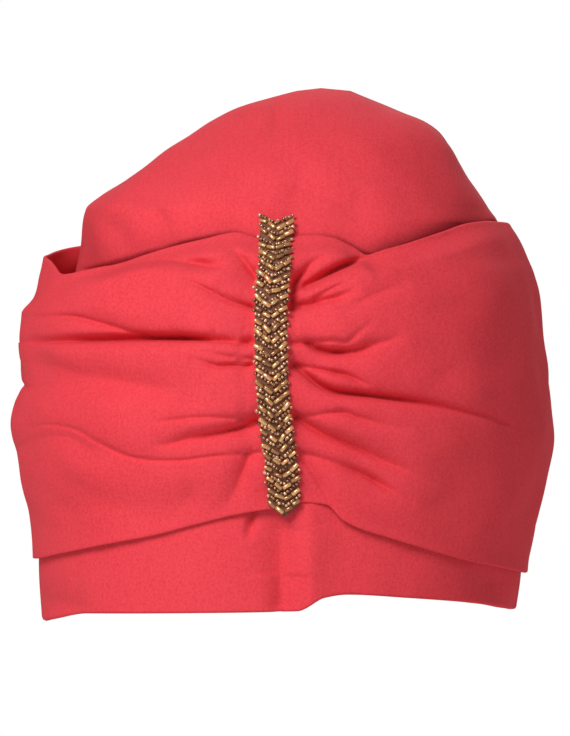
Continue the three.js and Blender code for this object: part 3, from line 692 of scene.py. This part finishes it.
def crown_surface(turn, z, depth):
    """Points of the crown, a depth under its outer face."""
    here, higher = Oval(CAP_SECTIONS, z), Oval(CAP_SECTIONS, z + SLOPE_STEP)
    x, y = here.point(turn)
    out_x, out_y = here.out(x, y)
    higher_x, higher_y = higher.point(turn)
    lean = ((higher_x - x) * out_x + (higher_y - y) * out_y) / SLOPE_STEP
    lean = np.where(z < JOIN_HEIGHT + 1, 0, lean)
    out = unit(np.stack([out_x, out_y, -lean], -1))
    dent = smooth_step(-y, *DENT_FRONT) * fold_depth(CROWN_DENTS, x, z)
    above_edge = np.maximum(z - along_table(CROWN_TUCK, "x", "edge", x), 0)
    tuck = along_table(CROWN_TUCK, "x", "depth", x) * np.exp(-(above_edge / CROWN_TUCK_RISE) ** 1.5)
    tuck += along_table(CROWN_TUCK, "x", "crease", x) * np.exp(-(above_edge / CROWN_CREASE_RISE) ** 2)
    dent = dent + tuck * smooth_step(-y, *TUCK_FRONT)
    swell = swells(CROWN_SWELLS, SEED, (x, y), z) * smooth_step(z, *CROWN_SWELL_STARTS)
    swell = swell * (1 - APEX_SWELL_LOSS * smooth_step(z, *CROWN_SWELL_ENDS))
    return np.stack([x, y, z], -1) + out * (swell - dent - depth)[..., None]


def crown_flat(points):
    """The crown's flat coordinates: its wales run from front to back over the top."""
    x, y, z = points[..., 0], points[..., 1], points[..., 2]
    across = KNIT_RADIUS * np.arcsin(np.clip(x / KNIT_HALF_WIDTH, -1, 1))
    over = KNIT_OVER_RADIUS * np.arctan2(z - KNIT_MIDDLE_HEIGHT, -y)
    return np.stack([across, over], -1)


def make_crown():
    turn = round_turns(CROWN_STEPS)
    edge_x, edge_y = Oval(CAP_SECTIONS, np.full(CROWN_STEPS, EDGE_HEIGHT)).point(turn)
    edge = along_table(CROWN_TUCK, "x", "edge", edge_x)
    front = smooth_step(-edge_y, *EDGE_ROWS_FRONT)

    def crowding(heights):
        shown = HIDDEN_ROWS + smooth_step(heights, *SHOWN_ROWS_START)
        shown = shown + APEX_ROWS * smooth_step(heights, *APEX_ROWS_START)
        return shown + EDGE_ROWS * front * np.exp(-((heights - edge - 1) / EDGE_ROWS_WIDTH) ** 2)

    low = np.full(CROWN_STEPS, JOIN_HEIGHT + JOIN_GAP / 2)
    z = crowded_rows(low, np.full(CROWN_STEPS, CROWN_TOP), CROWN_ROWS, crowding)
    turn = np.broadcast_to(turn, z.shape)
    outer = crown_surface(turn, z, 0)
    inner = crown_surface(turn, z, CAP_WALL)
    outer_pole = np.array(APEX)
    inner_pole = outer_pole - (0, 0, CAP_WALL)
    flat = crown_flat(outer)
    flat = np.concatenate([flat, flat[:, :1]], 1)
    return cloth_wall("crown_cloth", outer, inner, flat, True, np.array([inner_pole, outer_pole]))


# The headband


def headband_surface(turn, share, depth):
    """Points of the headband at a turn and a share of the way from its hem to the join."""
    hem_x, hem_y = Oval(CAP_SECTIONS, np.zeros_like(turn)).point(turn)
    front_hem = along_table(HEADBAND_HEM, "x", "z", hem_x)
    hem = front_hem + (BACK_HEM - front_hem) * smooth_step(hem_y, 0, HEM_TURNS_BACK)
    z = hem + (JOIN_HEIGHT - JOIN_GAP / 2 - hem) * share
    oval = Oval(CAP_SECTIONS, z)
    x, y = oval.point(turn)
    out_x, out_y = oval.out(x, y)
    pressed = np.where(y < 0, fold_depth(HEADBAND_FOLDS, x, z), 0)
    swell = swells(HEADBAND_SWELLS, SEED + 2, (x, y), z) * (1 - smooth_step(z, *HEADBAND_SWELL_ENDS))
    move = swell - pressed - depth
    return np.stack([x + out_x * move, y + out_y * move, z], -1)


def make_headband():
    share = np.linspace(0, 1, HEADBAND_ROWS + 1) ** HEM_CROWDING
    share, turn = np.meshgrid(share, round_turns(HEADBAND_STEPS), indexing="ij")
    outer = headband_surface(turn, share, 0)
    inner = headband_surface(turn, share, CAP_WALL)
    return cloth_wall("headband_cloth", outer, inner, around_flat(outer), True)


# The drape


def strip_middle(z):
    return along_table(STRIP_LINE, "z", "x", z)


def drape_edge(side, edge, reach):
    """The height of the drape's hem or top at a reach."""
    return along_table(DRAPE_EDGES[side], "reach", edge, reach)


def drape_points(side, turn, z):
    """The outer and inner points of the drape at turns and heights, with its folds."""
    oval, cap = Oval(DRAPE_SECTIONS, z), Oval(CAP_SECTIONS, z)
    x, y = oval.point(turn)
    out_x, out_y = oval.out(x, y)
    width = oval.half_x - oval.x if side == "left" else oval.half_x + oval.x
    across = np.abs(x)
    reach = np.where(y < oval.y, across, 2 * width - across)
    from_strip = np.where(y < 0, np.abs(x - strip_middle(z)), width)
    pull = STRIP_PULL * (1 - smooth_step(from_strip, *PULL_WIDTH))
    folds = fold_depth(DRAPE_FOLDS[side], reach, z)
    folds = FOLD_STRENGTH[side] * smooth_step(from_strip, *FOLD_START) * folds
    at_seam = 1 - smooth_step(np.where(y > 0, across, width), 0, SEAM_WIDTH)
    seed = SEED + (10 if side == "left" else 20)
    swell = swells(DRAPE_SWELLS, seed, (x, y), z)
    ruche = swells(DRAPE_RUCHES, seed + 2, (reach,), z) * smooth_step(reach - width, *RUCHE_STARTS)
    away = smooth_step(from_strip, *DRAPE_SWELL_STARTS) * (1 - at_seam)
    move = away * (swell + ruche) - pull - folds - SEAM_DEPTH * at_seam ** 2
    outer = np.stack([x + out_x * move, y + out_y * move, z], -1)
    # The upper edge is drawn in to the crown, and the hem to the headband.
    drop = drape_edge(side, "top", reach) - z
    share, depth = (along_table(EDGE_TUCK[side], "reach", column, reach) for column in ("share", "drop"))
    outer = cap.drawn_in(outer, TUCK_CLEARANCE, share * (1 - smooth_step(drop, 0, depth)))
    rise = z - drape_edge(side, "hem", reach)
    outer = cap.drawn_in(outer, HEM_CLEARANCE, HEM_TUCK * (1 - smooth_step(rise, 0, HEM_TUCK_RISE)))
    # The inner face stays out of the crown and the headband.
    inner = outer - np.stack([out_x * DRAPE_WALL, out_y * DRAPE_WALL, np.zeros_like(z)], -1)
    pushed = cap.scaled(inner, 1 / np.minimum(cap.share(inner, LAY), 1))
    return outer + pushed - inner, pushed


def make_drape(side):
    direction = -1 if side == "left" else 1
    t = (np.arange(DRAPE_STEPS + 1) / DRAPE_STEPS) ** FRONT_CROWDING
    share = np.sin(math.pi * t) ** (2 / ROUNDNESS)
    reach = EDGE_REACH * np.where(t < 0.5, share, 2 - share)

    def crowding(heights):
        closeness = crease_closeness(DRAPE_FOLDS[side], np.broadcast_to(reach, heights.shape), heights)
        return 1 + ROW_CROWDING * closeness

    hem, top = (drape_edge(side, edge, reach) for edge in ("hem", "top"))
    z = crowded_rows(hem, top, DRAPE_ROWS, crowding)
    oval = Oval(DRAPE_SECTIONS, z)
    start_turn = oval.turn_at(strip_middle(z) + direction * SEAM_GAP / 2)
    end = SEAM_GAP / 2 / oval.half_x
    end_turn = direction * (math.pi - np.arcsin(end ** (ROUNDNESS / 2)))
    turn = start_turn + (end_turn - start_turn) * t
    outer, inner = drape_points(side, turn, z)
    if side == "left":
        outer, inner = outer[:, ::-1], inner[:, ::-1]
    return cloth_wall(f"drape_{side}_cloth", outer, inner, around_flat(outer)[:, :-1])


# Nodes and finishes


class Value:
    """A socket of a node tree. Arithmetic with it adds Math nodes."""

    def __init__(self, nodes, socket):
        self.nodes = nodes
        self.socket = socket

    def math(self, operation, *values):
        return self.nodes.node("ShaderNodeMath", {"operation": operation}, dict(enumerate(values)))

    def __add__(self, other):
        return self.math("ADD", self, other)

    def __radd__(self, other):
        return self.math("ADD", other, self)

    def __sub__(self, other):
        return self.math("SUBTRACT", self, other)

    def __rsub__(self, other):
        return self.math("SUBTRACT", other, self)

    def __mul__(self, other):
        return self.math("MULTIPLY", self, other)

    def __rmul__(self, other):
        return self.math("MULTIPLY", other, self)

    def __truediv__(self, other):
        return self.math("DIVIDE", self, other)

    def __rtruediv__(self, other):
        return self.math("DIVIDE", other, self)

    def __abs__(self):
        return self.math("ABSOLUTE", self)

    def part(self):
        return self.math("FRACT", self)

    def wave(self):
        return self.math("SINE", self)


class Nodes:
    """A node tree and the one call that adds its nodes."""

    def __init__(self, tree):
        self.tree = tree
        tree.nodes.clear()

    def node(self, kind, settings=None, sockets=None, output=0):
        """Adds a node, sets it up, fills its sockets and gives back one of its outputs."""
        made = self.tree.nodes.new(kind)
        for name, value in (settings or {}).items():
            if name == "stops":
                self.set_stops(made.color_ramp, value)
            else:
                setattr(made, name, value)
        for key, value in (sockets or {}).items():
            if isinstance(value, Value):
                self.tree.links.new(value.socket, made.inputs[key])
            else:
                made.inputs[key].default_value = value
        return Value(self, made.outputs[output]) if made.outputs else None

    def set_stops(self, ramp, stops):
        while len(ramp.elements) < len(stops):
            ramp.elements.new(1)
        for element, (position, colour) in zip(ramp.elements, stops):
            element.position = position
            element.color = (*colour, 1)


class Finish(Nodes):
    """The nodes of a new material, with the few steps that the finishes share."""

    def __init__(self, name):
        self.material = bpy.data.materials.new(name)
        self.material.use_nodes = True
        super().__init__(self.material.node_tree)

    def place(self):
        return self.node("ShaderNodeTexCoord", None, None, "Object")

    def blend(self, share, first, second):
        """A colour between two, by a share from 0 to 1."""
        return self.node("ShaderNodeMix", {"data_type": "RGBA"}, {0: share, 6: first, 7: second}, 2)

    def noise(self, place, scale, detail, roughness=0.5):
        sockets = {"Vector": place, "Scale": scale, "Detail": detail, "Roughness": roughness}
        return self.node("ShaderNodeTexNoise", {"noise_dimensions": "3D"}, sockets)

    def bump(self, height, strength, distance):
        sockets = {"Height": height, "Strength": strength, "Distance": distance}
        return self.node("ShaderNodeBump", None, sockets)

    def surface(self, **sockets):
        named = {name.replace("_", " "): value for name, value in sockets.items()}
        shader = self.node("ShaderNodeBsdfPrincipled", None, named)
        self.node("ShaderNodeOutputMaterial", None, {"Surface": shader})
        return self.material


def jersey_finish():
    """Matt coral jersey. Its wales run up the cloth, with uneven yarn, soft changes of tone and painted shade
    in the grooves between its stitches.
    """
    finish = Finish("jersey")
    flat = finish.node("ShaderNodeUVMap", {"uv_map": "cloth"})
    across, along = (finish.node("ShaderNodeSeparateXYZ", None, {0: flat}, i) for i in range(2))
    leg = abs((across / WALE).part() - 0.5) * 2
    course = ((along / COURSE + leg * 0.6) * (2 * math.pi)).wave()
    stitch = (1 - leg * leg) + course * 0.22
    drawn_out = finish.node("ShaderNodeCombineXYZ", None, {0: across * 6, 1: along})
    streak = finish.noise(drawn_out, 130, 3)
    place = finish.place()
    patch = finish.noise(place, 22, 3)
    speckle = finish.noise(place, 1150, 2, 0.75)
    fuzz = finish.noise(place, 1500, 2)
    # The stitch grooves are darkened as painted shade; the streaks, patches and speckles are the yarn's own
    # uneven tone.
    depth = GROOVE_SHADE * (1 - stitch) + (streak - 0.5) * STREAK_TONE + (patch - 0.5) * PATCH_TONE
    depth = depth + (speckle - 0.5) * SPECKLE_TONE + MIDDLE_TONE
    height = stitch * 0.5 + streak * 0.4 + fuzz * 0.5
    return finish.surface(
        Base_Color=finish.blend(depth, JERSEY_LIGHT, JERSEY_DEEP),
        Roughness=0.82 + patch * 0.12,
        Normal=finish.bump(height, 0.35, 0.00016),
        Sheen_Weight=0.02,
        Sheen_Roughness=0.5,
        Sheen_Tint=(1.0, 0.55, 0.55, 1),
        Specular_IOR_Level=0.05,
    )


def bead_finish(name, tones, roughness):
    """Lustrous glass beads, each in its own tone."""
    finish = Finish(name)
    tone = finish.node("ShaderNodeAttribute", {"attribute_name": "tone"}, None, "Fac")
    cloud = finish.noise(finish.place(), 900, 2)
    shade = tone * 0.85 + cloud * 0.15
    return finish.surface(
        Base_Color=finish.node("ShaderNodeValToRGB", {"stops": tones}, {"Fac": shade}),
        Roughness=roughness + cloud * 0.12,
        Metallic=0.55,
        Coat_Weight=0.7,
        Coat_Roughness=0.08,
    )


def backing_and_shade_finish():
    """Dark brown thread and net under the beads, its darkness partly the thread's own colour and partly
    painted shade in the gaps between the beads.
    """
    finish = Finish("bead_backing")
    weave = finish.noise(finish.place(), 1400, 3)
    # These browns are the thread's colour and also painted shade in the gaps between the beads.
    colour = finish.blend(weave, (0.07, 0.018, 0.010, 1), (0.26, 0.09, 0.040, 1))
    return finish.surface(Base_Color=colour, Roughness=0.75, Normal=finish.bump(weave, 0.6, 0.0002))


def floor_finish():
    finish = Finish("pale_floor")
    cloud = finish.noise(finish.place(), 3, 2)
    colour = finish.blend(cloud, (0.80, 0.80, 0.79, 1), (0.86, 0.86, 0.85, 1))
    return finish.surface(Base_Color=colour, Roughness=0.9)


# The beaded strip


class StripPath:
    """The way that the beaded strip takes from its top down, over the crown's edge and the drape."""

    def __init__(self):
        z = np.linspace(STRIP_LINE["z"][-1], STRIP_LINE["z"][0], STRIP_SAMPLES)
        x = strip_middle(z)
        halves = ("left", "right")
        lowest = max(DRAPE_EDGES[side]["hem"][0] for side in halves)
        highest = min(DRAPE_EDGES[side]["top"][0] for side in halves)
        on_drape = np.clip(z, lowest, highest)
        turn = Oval(DRAPE_SECTIONS, on_drape).turn_at(x)
        drape = np.minimum(*(drape_points(side, turn, on_drape)[0][:, 1] for side in halves))
        oval = Oval(CAP_SECTIONS, z)
        crown = oval.y - oval.half_y - STRIP_CLEARANCE / 2
        y = drape + (crown - drape) * smooth_step(z, *STRIP_TO_CROWN) - STRIP_CLEARANCE
        points = np.stack([x, y, z], -1)
        for _ in range(STRIP_SMOOTHINGS):
            points[1:-1] = (points[:-2] + 2 * points[1:-1] + points[2:]) / 4
        steps = np.linalg.norm(np.diff(points, axis=0), axis=1)
        self.distance = np.concatenate([[0], np.cumsum(steps)])
        self.points = points
        self.down = unit(np.gradient(points, axis=0))
        self.length = self.distance[-1]

    def even_distance(self, share):
        """The distance down the strip of a share of its rows, as even in height as along it."""
        start, end = CHEVRON_RISE + ROWS_ENDS[0], self.length + ROWS_ENDS[1]
        along = start + (end - start) * share
        top, bottom = (np.interp(d, self.distance, self.points[:, 2]) for d in (start, end))
        level = np.interp(-(top + (bottom - top) * share), -self.points[:, 2], self.distance)
        return along + EVEN_HEIGHTS * (level - along)

    def place(self, distance, across, height):
        """A point at a distance down the strip, across it and above its underside, and the way out."""
        point, down = (
            np.array([np.interp(distance, self.distance, values[:, i]) for i in range(3)])
            for values in (self.points, self.down)
        )
        sideways = unit(np.array([-down[2], 0, down[0]]))
        out = np.cross(down, sideways)
        return point + sideways * across + out * (height - STRIP_BOW * across ** 2), out


def chevron_arm(path, distance, side, start, end, height):
    """The two ends of a row of beads on one arm of a chevron, and the way out of the strip there."""
    slope = math.tan(CHEVRON_SLOPE)
    ends = []
    for across in (start, end):
        point, out = path.place(distance - across * slope, side * across, height)
        ends.append(point)
    return ends, out


def guide_arms(name, arms):
    """A mesh of loose edges, one for each arm of beads, that carries the way out at its points."""
    points = np.array([end for ends, _ in arms for end in ends])
    outs = np.array([out for _, out in arms for _ in range(2)])
    mesh = bpy.data.meshes.new(name)
    edges = [(2 * i, 2 * i + 1) for i in range(len(arms))]
    mesh.from_pydata((points * MM).tolist(), edges, [])
    layer = mesh.attributes.new("out", "FLOAT_VECTOR", "POINT")
    layer.data.foreach_set("vector", outs.astype(np.float32).ravel())
    return add_object(name, mesh)


def bead_shape(name, outline, sides):
    """A drilled bead about the Z axis, turned from a closed outline of radius and height in millimetres."""
    points = []
    for i in range(sides):
        angle = 2 * math.pi * (i + 0.5) / sides
        points += [(r * math.cos(angle), r * math.sin(angle), h) for r, h in outline]
    count = len(outline)
    faces = []
    for i in range(sides):
        after = (i + 1) % sides
        for j in range(count):
            upper = (j + 1) % count
            faces.append([i * count + j, after * count + j, after * count + upper, i * count + upper])
    return new_piece(name, np.array(points), faces)


def bugle_outline():
    """A tube with bevelled ends."""
    radius, hole, half = BUGLES["radius"], BUGLES["hole"], BUGLES["length"] / 2
    bevel = radius * BUGLE_BEVEL
    lower = [(hole, -half), (radius - bevel, -half), (radius, -half + bevel)]
    return lower + [(r, -h) for r, h in reversed(lower)]


def seed_outline():
    """A round bead's section on one side of its hole."""
    radius, hole = SEEDS["radius"], SEEDS["hole"]
    middle, thick = (radius + hole) / 2, (radius - hole) / 2
    turns = [math.radians(turn) for turn in (-150, -90, -30, 30, 90, 150)]
    return [(middle + thick * math.cos(t), SEED_ROUNDNESS * radius * math.sin(t)) for t in turns]


def bead_tree():
    """Beads strung along each guide arm, each with its own small turn, size, shift and tone."""
    tree = bpy.data.node_groups.new("beads_on_arms", "GeometryNodeTree")
    inputs = {
        "Geometry": "NodeSocketGeometry",
        "Bead": "NodeSocketObject",
        "Finish": "NodeSocketMaterial",
        "Beads per arm": "NodeSocketInt",
        "Shift": "NodeSocketFloat",
        "Turn": "NodeSocketFloat",
        "Size change": "NodeSocketFloat",
        "Seed": "NodeSocketInt",
    }
    for name, kind in inputs.items():
        tree.interface.new_socket(name, in_out="INPUT", socket_type=kind)
    tree.interface.new_socket("Geometry", in_out="OUTPUT", socket_type="NodeSocketGeometry")
    nodes = Nodes(tree)
    given = {name: nodes.node("NodeGroupInput", None, None, name) for name in inputs}

    def random_vector(limit, seed):
        """A vector at random, whose numbers are each within a limit either way."""
        low, high = (
            nodes.node("ShaderNodeCombineXYZ", None, {i: value for i in range(3)})
            for value in (limit * -1, limit)
        )
        sockets = {0: low, 1: high, "Seed": seed}
        return nodes.node("FunctionNodeRandomValue", {"data_type": "FLOAT_VECTOR"}, sockets)

    def random_number(low, high, seed):
        sockets = {2: low, 3: high, "Seed": seed}
        return nodes.node("FunctionNodeRandomValue", {"data_type": "FLOAT"}, sockets, 1)

    shift = random_vector(given["Shift"], given["Seed"])
    turn = random_vector(given["Turn"], given["Seed"] + 1)
    size = random_number(1 - given["Size change"], 1 + given["Size change"], given["Seed"] + 2)
    tone = random_number(0.0, 1.0, given["Seed"] + 3)
    curves = nodes.node("GeometryNodeMeshToCurve", None, {"Mesh": given["Geometry"]})
    strung = nodes.node("GeometryNodeResampleCurve", None, {"Curve": curves, "Count": given["Beads per arm"]})
    moved = nodes.node("GeometryNodeSetPosition", None, {"Geometry": strung, "Offset": shift})
    way = nodes.node("GeometryNodeInputTangent")
    out = nodes.node("GeometryNodeInputNamedAttribute", {"data_type": "FLOAT_VECTOR"}, {"Name": "out"})
    lengthwise = nodes.node("FunctionNodeAlignRotationToVector", {"axis": "Z"}, {"Vector": way})
    facing = nodes.node(
        "FunctionNodeAlignRotationToVector",
        {"axis": "X", "pivot_axis": "Z"},
        {"Rotation": lengthwise, "Vector": out},
    )
    turned = nodes.node(
        "FunctionNodeRotateRotation",
        {"rotation_space": "LOCAL"},
        {"Rotation": facing, "Rotate By": turn},
    )
    bead = nodes.node("GeometryNodeObjectInfo", None, {"Object": given["Bead"]}, "Geometry")
    placed = nodes.node(
        "GeometryNodeInstanceOnPoints",
        None,
        {"Points": moved, "Instance": bead, "Rotation": turned, "Scale": size},
    )
    toned = nodes.node(
        "GeometryNodeStoreNamedAttribute",
        {"data_type": "FLOAT", "domain": "INSTANCE"},
        {"Geometry": placed, "Name": "tone", "Value": tone},
    )
    real = nodes.node("GeometryNodeRealizeInstances", None, {0: toned})
    finished = nodes.node("GeometryNodeSetMaterial", None, {"Geometry": real, "Material": given["Finish"]})
    nodes.node("NodeGroupOutput", None, {0: finished})
    return tree


def string_beads(name, tree, arms, bead, finish, sizes, seed):
    """A plain mesh of the beads that the tree strings along the arms."""
    inputs = {
        "Bead": bead,
        "Finish": finish,
        "Beads per arm": sizes["strung"],
        "Shift": sizes["shift"] * MM,
        "Turn": sizes["turn"],
        "Size change": sizes["size_change"],
        "Seed": seed,
    }
    guide = guide_arms(f"{name}_guide", arms)
    modifier = guide.modifiers.new("beads", "NODES")
    modifier.node_group = tree
    for item in tree.interface.items_tree:
        if item.name in inputs:
            modifier[item.identifier] = inputs[item.name]
    evaluated = guide.evaluated_get(bpy.context.evaluated_depsgraph_get())
    mesh = bpy.data.meshes.new_from_object(evaluated)
    guide.modifiers.remove(modifier)
    for pattern in (guide, bead):
        bpy.data.objects.remove(pattern)
    mesh.name = name
    return add_object(name, mesh)


def make_beads(path):
    """The rows of bugles and seeds, two arms each, in chevrons that point down."""
    random = np.random.default_rng(SEED)
    level = math.cos(CHEVRON_SLOPE)
    height = path.points[0, 2] - path.points[-1, 2]
    rows = round((height - CHEVRON_RISE) / CHEVRON_PITCH)
    bugle_height = BACKING_THICKNESS + BUGLES["radius"]
    seed_height = BACKING_THICKNESS + SEEDS["radius"] * SEED_ROUNDNESS
    first_bugle = FIRST_BUGLE + BUGLES["length"] / 2 * level
    last_bugle = first_bugle + (BUGLES["length"] + BUGLE_GAP) * level
    last_seed = STRIP_HALF_WIDTH - FIRST_SEED
    bugle_arms, seed_arms = [], []
    for row in range(rows):
        seed_row = path.even_distance(row / rows)
        bugle_row = path.even_distance((row + 0.5) / rows)
        for side in (-1, 1):
            seed_end = last_seed + random.uniform(*SEEDS["end_strays"])
            bugle_end = last_bugle + random.uniform(*BUGLES["end_strays"])
            seed_down, bugle_down = random.uniform(*ROWS_STRAY, 2)
            seed_arms.append(chevron_arm(path, seed_row + seed_down, side, FIRST_SEED, seed_end, seed_height))
            bugle_arms.append(
                chevron_arm(path, bugle_row + bugle_down, side, first_bugle, bugle_end, bugle_height)
            )
    tree = bead_tree()
    bugle = bead_shape("bugle_pattern", bugle_outline(), BUGLES["sides"])
    bugle_glass = bead_finish("bugle_glass", BUGLE_TONES, 0.16)
    seed = bead_shape("seed_pattern", seed_outline(), SEEDS["sides"])
    seed_glass = bead_finish("seed_glass", SEED_TONES, 0.14)
    bugles = string_beads("bugle_beads", tree, bugle_arms, bugle, bugle_glass, BUGLES, SEED)
    seeds = string_beads("seed_beads", tree, seed_arms, seed, seed_glass, SEEDS, SEED + 50)
    return bugles, seeds


def make_backing(path):
    """The narrow dark backing under the beads, its ends cut to the chevrons."""
    slope = math.tan(CHEVRON_SLOPE)
    across = np.linspace(-1, 1, BACKING_STEPS) * BACKING_HALF_WIDTH
    along = np.linspace(path.length - BACKING_ENDS[0], CHEVRON_RISE + BACKING_ENDS[1], BACKING_ROWS)
    outer, inner = (
        np.array([[path.place(down - abs(x) * slope, x, height)[0] for x in across] for down in along])
        for height in (BACKING_THICKNESS, 0)
    )
    return cloth_wall("bead_backing", outer, inner, around_flat(outer)[:, :-1])


# Camera, lights and floor


def make_camera():
    data = bpy.data.cameras.new("camera")
    data.sensor_width = SENSOR
    data.lens = SENSOR * CAMERA_DISTANCE / VIEW_HEIGHT
    data.clip_start = 0.1
    data.clip_end = 50
    camera = add_object("camera", data)
    camera.location = (VIEW_MIDDLE[0], -CAMERA_DISTANCE, VIEW_MIDDLE[1])
    camera.rotation_euler = (math.pi / 2, 0, 0)
    bpy.context.scene.camera = camera


def add_light(name, place, size, power):
    """A round soft light that points at the middle of the view."""
    data = bpy.data.lights.new(name, "AREA")
    data.shape = "DISK"
    data.size = size
    data.energy = power
    light = add_object(name, data)
    light.location = place
    middle = Vector((VIEW_MIDDLE[0], 0, VIEW_MIDDLE[1]))
    light.rotation_euler = (middle - light.location).to_track_quat("-Z", "Y").to_euler()


def make_studio():
    """A dim even room that shows as plain white behind the turban, with two lights and a pale floor."""
    scene = bpy.context.scene
    scene.view_settings.view_transform = "Standard"
    scene.view_settings.look = "None"
    scene.world = bpy.data.worlds.new("studio")
    scene.world.use_nodes = True
    nodes = Nodes(scene.world.node_tree)
    seen = nodes.node("ShaderNodeLightPath", None, None, "Is Camera Ray")
    room = nodes.node("ShaderNodeBackground", None, {"Color": WHITE, "Strength": ROOM_LIGHT})
    white = nodes.node("ShaderNodeBackground", None, {"Color": WHITE, "Strength": 1.0})
    shown = nodes.node("ShaderNodeMixShader", None, {0: seen, 1: room, 2: white})
    nodes.node("ShaderNodeOutputWorld", None, {"Surface": shown})
    add_light("key", **KEY_LIGHT)
    add_light("back", **BACK_LIGHT)
    mesh = bpy.data.meshes.new("floor")
    ways = ((-1, -1), (1, -1), (1, 1), (-1, 1))
    corners = [(x * FLOOR_HALF, y * FLOOR_HALF, FLOOR_HEIGHT) for x, y in ways]
    mesh.from_pydata(corners, [], [(0, 1, 2, 3)])
    mesh.materials.append(floor_finish())
    floor = add_object("floor", mesh)


def dress(piece, material, slot, *nodes):
    """Gives a piece its finish and its body, and hides the CAD nodes that it stands for. The slot is not
    used.
    """
    if material is not None:
        piece.data.materials.clear()
        piece.data.materials.append(material)
    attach(piece, "root")
    if nodes:
        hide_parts(*nodes)


make_camera()
make_studio()
jersey = jersey_finish()
crown = make_crown()
headband = make_headband()
drape_left = make_drape("left")
drape_right = make_drape("right")
strip_path = StripPath()
backing = make_backing(strip_path)
bugles, seeds = make_beads(strip_path)

dress(crown, jersey, "jersey", "crown")
dress(headband, jersey, "jersey", "headband")
dress(drape_left, jersey, "jersey", "drape_left")
dress(drape_right, jersey, "jersey", "drape_right")
dress(backing, backing_and_shade_finish(), "beads", "bead_strip")
dress(bugles, None, "beads")
dress(seeds, None, "beads")
